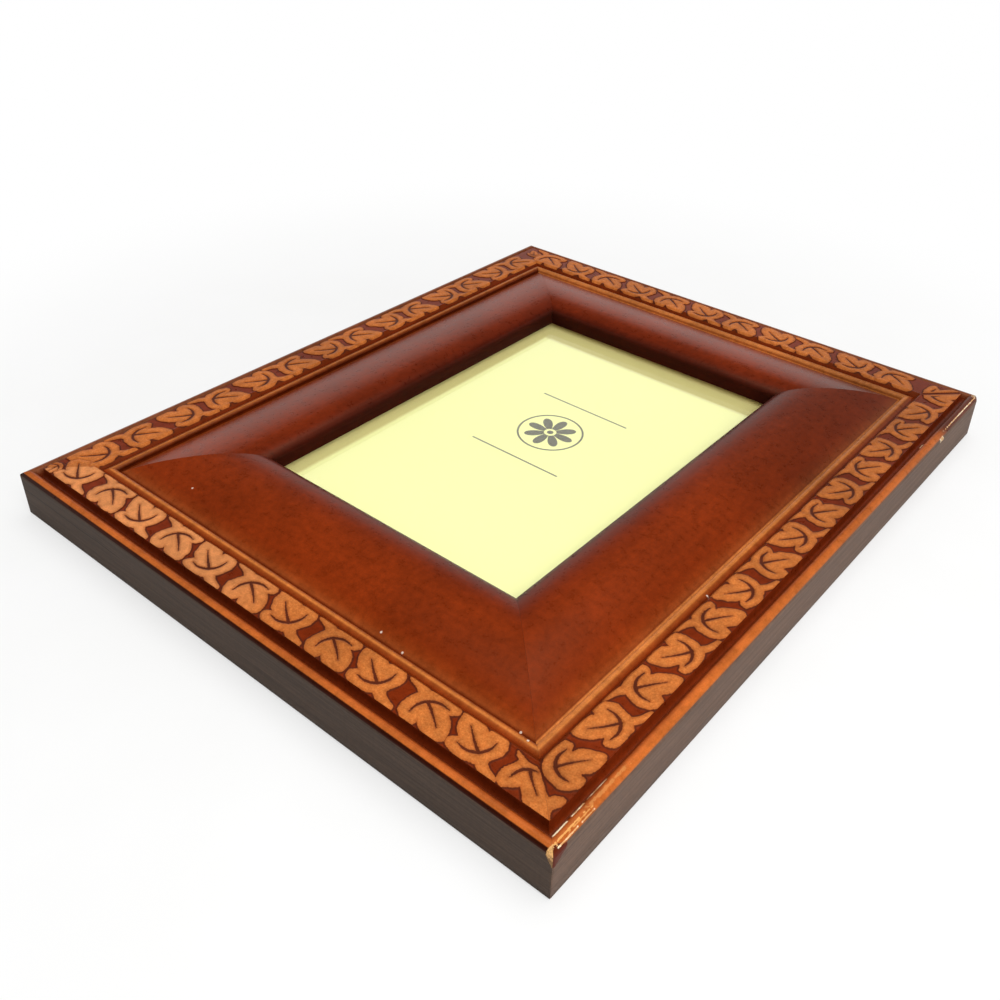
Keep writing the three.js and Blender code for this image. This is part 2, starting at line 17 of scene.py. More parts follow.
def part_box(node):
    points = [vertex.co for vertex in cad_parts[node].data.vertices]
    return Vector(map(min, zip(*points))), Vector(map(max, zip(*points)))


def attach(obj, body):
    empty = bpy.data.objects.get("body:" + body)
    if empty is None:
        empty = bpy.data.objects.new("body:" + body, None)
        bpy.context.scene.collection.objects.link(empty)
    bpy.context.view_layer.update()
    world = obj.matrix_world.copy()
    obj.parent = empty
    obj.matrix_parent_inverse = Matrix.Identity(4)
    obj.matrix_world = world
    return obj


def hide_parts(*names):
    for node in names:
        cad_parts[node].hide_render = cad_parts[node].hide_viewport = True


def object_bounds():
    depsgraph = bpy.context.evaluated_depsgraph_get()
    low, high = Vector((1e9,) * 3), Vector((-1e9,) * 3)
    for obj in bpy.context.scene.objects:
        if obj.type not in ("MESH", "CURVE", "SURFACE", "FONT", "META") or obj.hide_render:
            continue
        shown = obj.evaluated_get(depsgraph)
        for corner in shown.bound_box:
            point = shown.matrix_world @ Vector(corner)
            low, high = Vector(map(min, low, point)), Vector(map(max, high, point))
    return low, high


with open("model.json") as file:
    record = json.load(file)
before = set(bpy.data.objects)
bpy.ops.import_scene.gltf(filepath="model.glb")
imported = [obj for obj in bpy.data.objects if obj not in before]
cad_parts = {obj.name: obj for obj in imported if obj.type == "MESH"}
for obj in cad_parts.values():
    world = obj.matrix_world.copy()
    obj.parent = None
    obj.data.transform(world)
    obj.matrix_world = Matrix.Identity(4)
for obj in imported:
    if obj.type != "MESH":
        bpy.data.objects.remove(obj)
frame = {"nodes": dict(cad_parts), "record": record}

bl_info = {
    "name": "Leaf border photo frame",
    "version": (1, 0, 0),
    "blender": (4, 5, 0),
    "location": "View3D > Sidebar > Photo frame",
    "description": "Builds the looks of a moulded wooden photo frame with a carved leaf border",
    "category": "Object",
}

MM = 0.001
HAIR = 0.01
CAD_BOX = [list(corner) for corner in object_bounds()]
HALF_W = CAD_BOX[1][0] / MM
HALF_H = CAD_BOX[1][1] / MM


def shade(red, green, blue):
    """A colour written as on a screen, 0 to 255, given as Blender's linear light."""
    linear = []
    for part in (red, green, blue):
        part /= 255
        linear.append(part / 12.92 if part <= 0.04045 else ((part + 0.055) / 1.055) ** 2.4)
    return tuple(linear)


# What a user would change

class PhotoFrameSizes(bpy.types.PropertyGroup):
    """Sizes of the carving and of the fine mesh that holds it"""

    carving_depth: FloatProperty(
        name="Carving depth", description="How far the ground lies below the leaves",
        default=0.24 * MM, min=0, soft_max=1.5 * MM, unit='LENGTH', precision=5)
    vein_depth: FloatProperty(
        name="Vein depth", description="Depth of a leaf's veins as a share of the carving depth",
        default=0.7, min=0, max=1, subtype='FACTOR')
    coarse_cuts: IntProperty(
        name="Coarse cuts", description="Cuts across a whole rail, along its length",
        default=95, min=1, max=100)
    fine_cuts: IntProperty(
        name="Fine cuts", description="Further cuts between those, in the carved band only",
        default=10, min=1, max=20)


class PhotoFrameFinishes(bpy.types.PropertyGroup):
    """Colours of the finishes"""

    side: FloatVectorProperty(
        name="Side stain", description="The dark stain on the rails' outer sides",
        default=shade(100, 78, 65), subtype='COLOR', min=0, max=1)
    ground: FloatVectorProperty(
        name="Ground", description="The stained ground round the leaves",
        default=shade(112, 35, 4), subtype='COLOR', min=0, max=1)
    leaf: FloatVectorProperty(
        name="Leaf", description="The rubbed tops of the leaves",
        default=shade(198, 116, 54), subtype='COLOR', min=0, max=1)
    crown: FloatVectorProperty(
        name="Crown", description="The wide convex member round the picture",
        default=shade(121, 40, 5), subtype='COLOR', min=0, max=1)
    bead: FloatVectorProperty(
        name="Bead", description="The rubbed crests of both beads",
        default=shade(180, 92, 38), subtype='COLOR', min=0, max=1)
    bare_wood: FloatVectorProperty(
        name="Bare wood", description="The pale wood where the stain is worn off",
        default=shade(250, 232, 196), subtype='COLOR', min=0, max=1)
    paper: FloatVectorProperty(
        name="Paper", description="The pale slip behind the glass",
        default=shade(255, 252, 177), subtype='COLOR', min=0, max=1)


# Mesh helpers

def clear_selection():
    if bpy.context.object and bpy.context.object.mode != 'OBJECT':
        bpy.ops.object.mode_set(mode='OBJECT')
    bpy.ops.object.select_all(action='DESELECT')


def make_active(piece):
    clear_selection()
    piece.select_set(True)
    bpy.context.view_layer.objects.active = piece


def edit(piece, mode='VERT'):
    """Opens a piece in edit mode with nothing selected and returns its mesh for picking."""
    make_active(piece)
    bpy.ops.object.mode_set(mode='EDIT')
    bpy.ops.mesh.select_mode(type=mode)
    bpy.ops.mesh.select_all(action='DESELECT')
    return bmesh.from_edit_mesh(piece.data)


def pick(piece, kind, test):
    """Selects the parts of the open mesh for which the test holds."""
    mesh = bmesh.from_edit_mesh(piece.data)
    parts = {'VERT': mesh.verts, 'EDGE': mesh.edges, 'FACE': mesh.faces}[kind]
    for part in parts:
        part.select_set(bool(test(part)))
    mesh.select_flush_mode()
    bmesh.update_edit_mesh(piece.data)


def close_edit():
    bpy.ops.object.mode_set(mode='OBJECT')


def apply_modifier(piece, modifier):
    make_active(piece)
    bpy.ops.object.modifier_apply(modifier=modifier.name)


def settle(piece):
    """Puts a piece's place, turn and size into its mesh."""
    make_active(piece)
    bpy.ops.object.transform_apply(location=True, rotation=True, scale=True)


def remove(piece):
    mesh = piece.data
    make_active(piece)
    bpy.ops.object.delete()
    bpy.data.meshes.remove(mesh)


def draw_line(name, points):
    """Draws a line through points, one after the other, and leaves it open for editing."""
    clear_selection()
    bpy.ops.mesh.primitive_plane_add(size=MM, location=points[0])
    piece = bpy.context.object
    piece.name = piece.data.name = name
    settle(piece)
    edit(piece)
    bpy.ops.mesh.select_all(action='SELECT')
    bpy.ops.mesh.merge(type='CENTER')
    for here, there in zip(points, points[1:]):
        bpy.ops.mesh.extrude_vertices_move(TRANSFORM_OT_translate={"value": there - here})
    bpy.ops.mesh.select_all(action='SELECT')
    return piece


def draw_plate(name, outline, low, high):
    """A plate from an outline in mm, pulled up from one height to another."""
    piece = draw_line(name, [Vector((x, y, low)) * MM for x, y in outline])
    bpy.ops.mesh.edge_face_add()
    bpy.ops.mesh.extrude_region_move(TRANSFORM_OT_translate={"value": (0, 0, (high - low) * MM)})
    bpy.ops.mesh.select_all(action='SELECT')
    bpy.ops.mesh.normals_make_consistent(inside=False)
    close_edit()
    return piece


def turn_on_lathe(name, profile, steps=40):
    """A turned piece about Z from its profile of radius and height in mm."""
    piece = draw_line(name, [Vector((radius, 0, height)) * MM for radius, height in profile])
    bpy.ops.mesh.spin(steps=steps, angle=2 * math.pi, center=(0, 0, 0), axis=(0, 0, 1))
    bpy.ops.mesh.select_all(action='SELECT')
    bpy.ops.mesh.remove_doubles(threshold=0.001 * MM)
    bpy.ops.mesh.normals_make_consistent(inside=False)
    close_edit()
    return piece


def cut_away(piece, tool):
    """Takes a tool's shape out of a piece."""
    cut = piece.modifiers.new("Cut", 'BOOLEAN')
    cut.operation, cut.solver, cut.object = 'DIFFERENCE', 'EXACT', tool
    apply_modifier(piece, cut)


def copy_piece(master, name, place=Matrix.Identity(4)):
    """A copy with its own mesh, put at a place."""
    piece = bpy.data.objects.new(name, master.data.copy())
    piece.data.transform(place)
    bpy.context.scene.collection.objects.link(piece)
    return piece


def soften_edges(piece, width, angle=30, segments=3):
    """Rounds a piece's edges and shades it so that its wide faces stay flat."""
    edges = piece.modifiers.new("Eased edges", 'BEVEL')
    edges.width, edges.segments = width * MM, segments
    edges.limit_method, edges.angle_limit = 'ANGLE', math.radians(angle)
    apply_modifier(piece, edges)
    make_active(piece)
    bpy.ops.object.shade_smooth_by_angle(angle=math.radians(35))
    flat_faces = piece.modifiers.new("Flat faces", 'WEIGHTED_NORMAL')
    flat_faces.keep_sharp = True
    apply_modifier(piece, flat_faces)


def corners_of(piece):
    place = np.empty(len(piece.data.vertices) * 3, np.float32)
    piece.data.vertices.foreach_get("co", place)
    return place.reshape(-1, 3)


def keep_number(piece, name, values):
    """Stores one number at each vertex for the materials to read."""
    attribute = piece.data.attributes.new(name, 'FLOAT', 'POINT')
    attribute.data.foreach_set("value", np.asarray(values, np.float32))


def weigh(piece, name, weights, levels=240):
    """Makes a vertex group from an array of weights."""
    group = piece.vertex_groups.new(name=name)
    steps = np.rint(np.clip(weights, 0, 1) * levels).astype(int)
    for step in np.unique(steps[steps > 0]):
        group.add(np.flatnonzero(steps == step).tolist(), step / levels, 'REPLACE')


def smooth(low, high, value):
    """Smooth step of numbers from 0 at low to 1 at high."""
    share = np.clip((value - low) / (high - low), 0, 1)
    return share * share * (3 - 2 * share)


def finish_piece(piece, body, nodes, material):
    """Names what a finished piece rides on, stands for and takes its finish from."""
    if material is not None:
        piece.data.materials.clear()
        piece.data.materials.append(material)
    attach(piece, body)
    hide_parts(*nodes)


# The moulding's section, in mm inward from the outer face and up

SIDE_TOP, FOOT_EASE = 12.0, 0.6
BEAD_FROM, BEAD_FOOT = (0.5, 12.8), (3.4, 11.9)
BAND_FROM, BAND_TO, BAND_Z = 4.6, 13.57, 14.4
CARVED_TO = 14.3
STEP_FOOT = (15.0, 13.0)
GROOVE_FROM, GROOVE_TOP, GROOVE_Z = 17.6, 13.0, 12.3
CROWN_FROM, CROWN_PEAK, CROWN_Z = 18.1, 38.2, 17.3
RAIL_W, SIGHT_Z = 46.0, 14.8
GLASS_FROM, GLASS_SEAT = 42.025, 11.05
RECESS_FROM, RECESS = 29.025, 4.2
MITRE_GAP = 0.02
# Each member from the outer side inward: how many parts it has, the points that pull its curve, and its end
MEMBERS = (
    (5, (0, SIDE_TOP)),
    (6, (0, 12.4), BEAD_FROM),
    (16, (1.892, 13.895), (2.994, 13.505), BEAD_FOOT),
    (9, (BAND_FROM, BEAD_FOOT[1]), (BAND_FROM, BAND_Z)),
    (46, (BAND_TO, BAND_Z)),
    (2, (13.9, 14.12)),
    (3, STEP_FOOT),
    (12, (16.04, 13.72), (17.21, 13.78), (GROOVE_FROM, GROOVE_TOP)),
    (1, (GROOVE_FROM, GROOVE_Z)),
    (1, (CROWN_FROM, GROOVE_Z)),
    (22, (23.93, 15.4), (31.97, CROWN_Z), (CROWN_PEAK, CROWN_Z)),
    (12, (41.476, CROWN_Z), (44.596, 16.4), (45.7, 15.14)),
    (4, (RAIL_W, SIGHT_Z), (RAIL_W, 14.4)),
    (1, (RAIL_W, GLASS_SEAT)),
    (1, (GLASS_FROM, GLASS_SEAT)),
    (1, (GLASS_FROM, RECESS)),
    (1, (RECESS_FROM, RECESS)),
    (1, (RECESS_FROM, 0)),
    (1, (FOOT_EASE, 0)),
    (4, (0.15, 0.15), (0, FOOT_EASE)),
)


def member_points(start, points, parts):
    """The points of one member after its start, evenly spaced along a line or a Bezier curve."""
    path = [np.array(point, float) for point in (start, *points)]
    found = []
    for step in range(1, parts + 1):
        share = step / parts
        level = path
        while len(level) > 1:
            level = [a + (b - a) * share for a, b in zip(level, level[1:])]
        found.append(tuple(level[0]))
    return found


def section_points():
    outline = [(0, FOOT_EASE)]
    for parts, *points in MEMBERS:
        outline += member_points(outline[-1], points, parts)
    return outline[:-1]


def draw_section(name, length):
    """Draws the section at a rail's left mitre and closes it with a face."""
    piece = draw_line(name, [Vector((t - length / 2 + MITRE_GAP, t, z)) * MM for t, z in section_points()])
    bpy.ops.mesh.edge_face_add()
    return piece


def draw_rail(name, length):
    """One rail's blank along X with its outer face on Y = 0: the section drawn out from mitre to mitre."""
    piece = draw_section(name, length)
    bpy.ops.mesh.extrude_region_move()
    bpy.ops.transform.resize(value=(-1, 1, 1), center_override=(0, 0, 0))
    bpy.ops.mesh.select_all(action='SELECT')
    bpy.ops.mesh.normals_make_consistent(inside=False)
    close_edit()
    return piece


# The corners by the signs of X and Y, with the turn of their nails and the height of the nails' feet
CORNERS = (((-1, -1), -45, 0.2), ((1, -1), 45, 4.4), ((1, 1), 135, 0.2), ((-1, 1), -135, 0.2))
NAILS_INWARD = (11, 24)
# The leg, in mm from its hinge pin: it lies on the diagonal and opens to stand the frame at a lean
LEG_START, LEG_TIP, LEG_HALF_TOP, LEG_HALF_FOOT = 2.4, 122, 12, 15
DIAGONAL, LEG_OPENS, LEG_LEANS = math.sqrt(0.5), math.radians(35), math.radians(18)


def leg_outline(clearance):
    """The folded leg's outline in mm from the hinge pin, with a clearance; its foot has two edges."""
    tilt = DIAGONAL * math.cos(LEG_OPENS) * math.cos(LEG_LEANS) + math.sin(LEG_OPENS) * math.sin(LEG_LEANS)
    slope = DIAGONAL * math.cos(LEG_LEANS) / tilt
    at_hinge, at_foot = LEG_HALF_TOP + clearance, LEG_HALF_FOOT + clearance
    tip = LEG_TIP + clearance * math.hypot(1, slope)
    return ((LEG_START - clearance, -at_hinge), (tip - slope * at_foot, -at_foot), (tip, 0),
            (tip - slope * at_foot, at_foot), (LEG_START - clearance, at_hinge))


def nail_slot_outline(clearance=0.15):
    """A corner nail's chevron in mm with a clearance round it."""
    half_span, drop, thickness = 4.5, 2.6, 0.7
    wing, skin = half_span + clearance, clearance * math.hypot(half_span, drop) / half_span
    fall = drop * wing / half_span
    return ((0, skin), (-wing, skin - fall), (-wing, -skin - fall - thickness), (0, -skin - thickness),
            (wing, -skin - fall - thickness), (wing, skin - fall))


def middle_of(node):
    low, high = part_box(node)
    return (Vector(low) + Vector(high)) / 2


def hinge_place():
    """The hinge's own frame: X along the folded leg, Y along the pin."""
    return Matrix.Translation(middle_of("hinge_pin")) @ Matrix.Rotation(math.radians(-45), 4, 'Z')


def draw_back_tools():
    """What the rails' backs are cut with: the folded leg's channel and the corner nails' slots."""
    pin = middle_of("hinge_pin")
    channel = draw_plate("channel_tool", leg_outline(1), -1 - pin.z / MM, RECESS - pin.z / MM)
    channel.data.transform(hinge_place())
    tools = [channel]
    for (sx, sy), turn, foot in CORNERS:
        for inward in NAILS_INWARD:
            slot = draw_plate("nail_slot_tool", nail_slot_outline(), foot - 1.5, foot + 6.65)
            place = Vector((sx * (HALF_W - inward), sy * (HALF_H - inward), 0)) * MM
            slot.data.transform(Matrix.Translation(place) @ Matrix.Rotation(math.radians(turn), 4, 'Z'))
            tools.append(slot)
    return tools


def lies_along(edge, low, high):
    """True for an edge along the rail that lies on its front, between two distances from the outer face."""
    a, b = edge.verts
    if abs(a.co.y - b.co.y) > 1e-7 or abs(a.co.z - b.co.z) > 1e-7 or abs(a.co.x - b.co.x) < MM:
        return False
    t, z = a.co.y / MM, a.co.z / MM
    on_front = z > GLASS_SEAT + HAIR or t < HAIR
    return on_front and low - HAIR / 10 <= t <= high + HAIR / 10


def cut_along(piece, low, high, cuts, test=lambda edge: True):
    """Cuts a rail's lengthwise edges into short lengths."""
    edit(piece, 'EDGE')
    pick(piece, 'EDGE', lambda edge: lies_along(edge, low, high) and test(edge))
    bpy.ops.mesh.subdivide(number_cuts=cuts)
    close_edit()


# How far back from each end the rails get fine cuts for worn corners, and the corners' rounding, in mm
FINE_ENDS = {"rail_bottom": (5, 10), "rail_right": (26, 40), "rail_top": (8, 5), "rail_left": (5, 5)}
CORNER_ROUNDING = {"rail_bottom": (0.7, 0.8), "rail_right": (0.8, 4.2), "rail_top": (4.2, 0.8),
                   "rail_left": (0.8, 0.7)}


def near_worn_end(edge, name):
    """True for a lengthwise edge that lies wholly near a worn end of its rail."""
    first, last = FINE_ENDS[name]
    half = rail_length(name) / 2
    low, high = sorted(v.co.x / MM for v in edge.verts)
    return high < first - half or low > half - last


def lies_on_band(edge):
    """True for a lengthwise edge of the carved band or the step beside it, but not of the cove below."""
    place = edge.verts[0].co / MM
    return place.y > (BAND_FROM + BAND_TO) / 2 or abs(place.z - BAND_Z) < HAIR


def cut_finely(piece, name, sizes):
    """Cuts a rail into short lengths, finer in the carved band and near its worn ends."""
    cut_along(piece, -1, RAIL_W + 1, sizes.coarse_cuts)
    cut_along(piece, BAND_FROM, CARVED_TO, sizes.fine_cuts, lies_on_band)
    cut_along(piece, -1, BAND_FROM - 0.05, sizes.fine_cuts, lambda edge: near_worn_end(edge, name))


def ease_corners(piece, name):
    """Rounds the upright corners of the frame as handling does, most at the top."""
    half = rail_length(name) / 2
    place = corners_of(piece) / MM
    for side, at_top in zip((-1, 1), CORNER_ROUNDING[name]):
        radius = at_top * (0.4 + 0.6 * np.clip(place[:, 2] / SIDE_TOP, 0, 1))
        a, b = place[:, 1], half - side * place[:, 0]
        in_corner = (a < radius) & (b < radius) & (b >= a - 0.1)
        reach = np.hypot(radius - a, radius - b)
        move = in_corner & (reach > radius)
        share = radius / np.where(move, reach, 1)
        place[:, 1] = np.where(move, radius - (radius - a) * share, place[:, 1])
        place[:, 0] = np.where(move, side * (half - radius + (radius - b) * share), place[:, 0])
    piece.data.vertices.foreach_set("co", (place * MM).astype(np.float32).ravel())
    piece.data.update()


# Where the section has sharp corners
SHARP_AT = (
    (0, SIDE_TOP), BEAD_FOOT, (BAND_FROM, BAND_Z), STEP_FOOT, (GROOVE_FROM, GROOVE_TOP),
    (GROOVE_FROM, GROOVE_Z), (CROWN_FROM, GROOVE_Z), (RAIL_W, GLASS_SEAT), (GLASS_FROM, GLASS_SEAT),
    (GLASS_FROM, RECESS), (RECESS_FROM, RECESS), (RECESS_FROM, 0))


def mark_creases(piece):
    """Shades a rail smooth but for the section's own corners and the cuts in its back."""
    make_active(piece)
    bpy.ops.object.shade_smooth()
    edit(piece, 'EDGE')

    def is_crease(edge):
        if len(edge.link_faces) != 2:
            return False
        a, b = (v.co / MM for v in edge.verts)
        for t, z in SHARP_AT:
            if all(abs(p.y - t) < 2 * HAIR and abs(p.z - z) < 2 * HAIR for p in (a, b)):
                return True
        behind, crosses = min(a.z, b.z) < GLASS_SEAT + 5 * HAIR, abs(a.y - b.y) > HAIR / 10
        return edge.calc_face_angle(0) > 1 and (behind or crosses)

    pick(piece, 'EDGE', is_crease)
    bpy.ops.mesh.mark_sharp()
    close_edit()


# The carved leaves

# A leaf's outline round its left lobe, tip and right lobe, in mm along and left of its middle vein
LEAF_OUTLINE = (
    (-2.5, 0.0), (-2.1, 1.5), (-1.1, 2.9), (0.5, 4.2), (2.3, 5.2), (3.8, 5.4), (4.5, 4.7), (4.3, 3.6),
    (3.9, 2.6), (5.4, 2.7), (7.4, 2.2), (9.2, 1.1), (10.0, 0.0), (9.2, -1.2), (7.8, -2.2), (5.8, -2.9),
    (3.9, -2.8), (4.1, -4.2), (3.4, -5.4), (2.0, -5.9), (0.3, -5.7), (-1.0, -4.8), (-1.9, -3.1),
    (-2.4, -1.4))
MIDDLE_VEIN = ((-0.2, 0.0), (3.4, 0.15), (6.8, 0.0))
ARC_VEIN = ((3.2, 3.5), (1.4, 2.5), (0.3, 1.1), (-0.2, -0.6), (0.2, -2.5), (1.3, -4.0))
STALK = ((-2.3, 0.0), (-4.4, -0.1), (-6.9, -1.0))
# The long leaf that turns the near corner, its stalk included, in mm along and in from its vein's foot
CORNER_OUTLINE = (
    (-4.7, 2.4), (-3.3, 2.1), (-1.6, 1.6), (0.2, 1.7), (1.7, 1.0), (3.2, -0.4), (4.7, -1.3), (6.1, -2.2),
    (7.2, -1.3), (8.4, -0.6), (9.3, -1.0), (9.4, -2.3), (8.9, -3.6), (8.6, -4.6), (9.6, -6.3), (10.6, -8.1),
    (9.0, -7.1), (7.0, -7.1), (5.0, -6.9), (3.4, -6.3), (1.9, -5.0), (0.7, -4.1), (-0.2, -5.4), (-1.6, -6.3),
    (-3.1, -6.0), (-4.0, -4.7), (-4.2, -3.2), (-3.9, -1.6), (-3.3, -0.4), (-3.3, 0.7), (-4.3, 1.5))
CORNER_ARC = ((-1.9, -3.5), (-1.7, -2.0), (-1.1, -0.6), (0.0, 0.3), (1.3, 0.7))
CORNER_VEIN = ((0.2, -0.1), (1.1, -1.0), (2.4, -2.0), (4.4, -3.5))
STALK_W, VEIN_W = 1.8, 0.72
# How much the leaves of each rail swell past their outline, and the number that stands for far from any leaf
LEAF_SPREAD = {"rail_bottom": 0.5, "rail_right": 0.26, "rail_top": 0.42, "rail_left": 0.36}
FAR = 6.0

# Leaves run along each rail in two rows, one pointing back along it from within and one turned half round.
# Each run: rail, first place along it, pitch, count, the vein's foot in from the outer face, heading.
OUTWARD, INWARD = -35, 145
LEAF_RUNS = (
    ("rail_right", -91.4, 26.5, 7, 11.0, OUTWARD), ("rail_right", -74.8, 26.4, 7, 8.0, INWARD),
    ("rail_bottom", -61.3, 27.2, 5, 11.0, OUTWARD), ("rail_bottom", -72.2, 27.1, 6, 8.0, INWARD),
    ("rail_left", -75.3, 27.05, 7, 11.0, OUTWARD), ("rail_left", -84.2, 26.9, 7, 8.0, INWARD),
    ("rail_top", -52.1, 27.0, 5, 11.0, OUTWARD), ("rail_top", -61.9, 26.8, 5, 8.0, INWARD),
    ("rail_top", 72.1, 26.8, 1, 8.0, INWARD),
)
# Corner leaves of the plain outline: rail, place, distance from the outer face, heading, size
CORNER_LEAVES = (
    ("rail_right", 93.6, 10.4, OUTWARD, 1.05),
    ("rail_left", 98.6, 6.4, 4, 0.45),
    ("rail_top", 77.6, 10.2, -50, 0.45),
)
LONG_LEAF = ("rail_bottom", 73.2, 11.0, 0, 1.0)
RAIL_TURNS = {"rail_bottom": 0, "rail_right": 90, "rail_top": 180, "rail_left": 270}


def rail_length(name):
    return 2 * (HALF_W if name in ("rail_bottom", "rail_top") else HALF_H)


def rail_distance(name):
    """How far a rail's outer face lies from the frame's middle, in mm."""
    return HALF_H if name in ("rail_bottom", "rail_top") else HALF_W


def to_frame(name, along, inward):
    """A place along a rail and in from its outer face, in the frame's X and Y."""
    turn = math.radians(RAIL_TURNS[name])
    x, y = np.asarray(along, float), np.asarray(inward, float) - rail_distance(name)
    return x * math.cos(turn) - y * math.sin(turn), x * math.sin(turn) + y * math.cos(turn)


def rounded_loop(points, parts=4):
    """A closed smooth curve through the given points."""
    p = np.array(points, float)
    before, after, later = np.roll(p, 1, 0), np.roll(p, -1, 0), np.roll(p, -2, 0)
    loop = []
    for share in np.arange(parts) / parts:
        s2, s3 = share ** 2, share ** 3
        loop.append(0.5 * (2 * p + (after - before) * share + (2 * before - 5 * p + 4 * after - later) * s2
                           + (3 * p - before - 3 * after + later) * s3))
    return np.stack(loop, 1).reshape(-1, 2)


def rounded_path(points, parts=5):
    """A smooth open curve through the given points."""
    p = np.array(points, float)
    ends = np.vstack([2 * p[0] - p[1], p, 2 * p[-1] - p[-2]])
    path = []
    for i in range(len(p) - 1):
        a, b, c, d = ends[i:i + 4]
        for share in np.arange(parts) / parts:
            path.append(0.5 * (2 * b + (c - a) * share + (2 * a - 5 * b + 4 * c - d) * share ** 2
                               + (3 * b - a - 3 * c + d) * share ** 3))
    return np.array(path + [p[-1]])


def distance_to_path(places, path):
    """How far each place is from a path of straight lengths, and how far along it, 0 to 1."""
    a, b = path[:-1], path[1:]
    run = b - a
    reach = places[:, None, :] - a[None]
    share = np.clip((reach * run[None]).sum(2) / (run ** 2).sum(1)[None], 0, 1)
    gap = np.hypot(*np.moveaxis(reach - share[..., None] * run[None], 2, 0))
    nearest = gap.argmin(1)
    rows = np.arange(len(places))
    return gap[rows, nearest], (nearest + share[rows, nearest]) / len(run)


def inside_loop(places, loop):
    a, b = loop, np.roll(loop, -1, 0)
    x, y = places[:, :1], places[:, 1:]
    spans = (a[:, 1] > y) != (b[:, 1] > y)
    rise = np.where(b[:, 1] == a[:, 1], 1, b[:, 1] - a[:, 1])
    crossing = a[:, 0] + (y - a[:, 1]) * (b[:, 0] - a[:, 0]) / rise
    return ((spans & (x < crossing)).sum(1) % 2).astype(bool)


def leaf_places():
    """Every leaf of the border: its place in the frame, heading and size, each a little different."""
    rng = np.random.default_rng(7)
    plain = (LEAF_OUTLINE, ((MIDDLE_VEIN, True), (ARC_VEIN, False)))
    leaves = []
    for name, first, pitch, count, inward, heading in LEAF_RUNS:
        for i in range(count):
            at_near_corner = name == "rail_right" and i == 0 and heading == OUTWARD
            spot = (name, first + pitch * i + rng.normal(0, 0.12), inward + rng.normal(0, 0.08),
                    heading + rng.normal(0, 1.3), 1 + rng.normal(0, 0.012))
            leaves.append((spot, plain, not at_near_corner))
    for spot in CORNER_LEAVES:
        leaves.append((spot, plain, False))
    leaves.append((LONG_LEAF, (CORNER_OUTLINE, ((CORNER_VEIN, True), (CORNER_ARC, False))), False))
    return leaves


def carve_numbers(places):
    """For places in the frame, in mm: how deep each is inside a leaf, and how far outside a vein."""
    leaf, under, vein = np.full(len(places), -FAR), np.full(len(places), -FAR), np.full(len(places), FAR)
    rng = np.random.default_rng(11)
    for (name, along, inward, heading, size), (points, veins), has_stalk in leaf_places():
        foot = np.array(to_frame(name, along, inward))
        turn = math.radians(heading + RAIL_TURNS[name])
        near = np.flatnonzero(np.hypot(*(places - foot).T) < 15 * size)
        shape = rounded_loop(points)
        wobble = rng.normal(0, 0.1, shape.shape)
        shape += (wobble + np.roll(wobble, 1, 0) + np.roll(wobble, -1, 0)) / 1.7
        if not len(near):
            continue
        reach = (places[near] - foot) / size
        c, s = math.cos(turn), math.sin(turn)
        local = np.stack([reach[:, 0] * c + reach[:, 1] * s, reach[:, 1] * c - reach[:, 0] * s], 1)
        gap, _ = distance_to_path(local, np.vstack([shape, shape[:1]]))
        depth = np.where(inside_loop(local, shape), gap, -gap)
        if has_stalk:
            gap, share = distance_to_path(local, rounded_path(STALK))
            depth = np.maximum(depth, STALK_W / 2 * (1 - 0.4 * share) - gap)
        if points is LEAF_OUTLINE:
            depth += LEAF_SPREAD[name]
        under[near] = np.maximum(under[near], np.minimum(leaf[near], depth * size))
        leaf[near] = np.maximum(leaf[near], depth * size)
        for path, tapers in veins:
            gap, share = distance_to_path(local, rounded_path(path))
            width = 1 - 0.75 * share if tapers else np.sin(np.pi * np.clip(share, 0.04, 0.96)) ** 0.5
            vein[near] = np.minimum(vein[near], (gap - VEIN_W / 2 * width) * size)
    # The right corner keeps a strip of ground along its mitre
    half_strip, vein_clear = 0.5, 1.2
    to_mitre = np.abs(HALF_W - places[:, 0] - HALF_H + places[:, 1]) / math.sqrt(2)
    in_right_corner = places.min(1) > 0
    leaf = np.where(in_right_corner, np.minimum(leaf, to_mitre - half_strip), leaf)
    vein = np.where(in_right_corner & (to_mitre < vein_clear), FAR, vein)
    return leaf - np.maximum(under, 0), vein


def carve(rail, name, sizes):
    """Keeps a rail's numbers for the materials, and sinks the ground and the veins between the leaves."""
    places = corners_of(rail) / MM
    along, across, height = places.T
    at_top = (height > BAND_Z - HAIR) | (across > BAND_TO)
    on_band = (across > BAND_FROM - HAIR) & (across < CARVED_TO) & (height > BAND_Z - 0.7) & at_top
    leaf, vein = np.full(len(places), -FAR), np.full(len(places), FAR)
    leaf[on_band], vein[on_band] = carve_numbers(np.stack(to_frame(name, along, across), 1)[on_band])
    board = np.full(len(places), list(RAIL_TURNS).index(name) * BOARD_STEP)
    # 1 on the rubbed rails; the materials paint shade on the sides and coves of the other two
    rubbed = np.full(len(places), float(name in RUBBED_AND_UNSHADED_RAILS))
    for label, values in (("along", along), ("across", across), ("board", board), ("leaf", leaf),
                          ("vein", vein), ("rubbed", rubbed)):
        keep_number(rail, label, values)
    sunk = 1 - smooth(-0.25, 0.3, leaf)
    sunk = np.maximum(sunk, 0.4 * (1 - smooth(0.1, 1.5, leaf)))
    sunk = np.maximum(sunk, sizes.vein_depth * (1 - smooth(-0.15, 0.4, vein)) * (leaf > 0))
    sunk *= on_band * (1 - smooth(BAND_TO - 0.45, BAND_TO - 0.1, across))
    weigh(rail, "sunk", sunk)
    carving = rail.modifiers.new("Carving", 'DISPLACE')
    carving.direction, carving.mid_level, carving.vertex_group = 'Z', 0, "sunk"
    carving.strength = -sizes.carving_depth
    apply_modifier(rail, carving)
    rail.vertex_groups.clear()


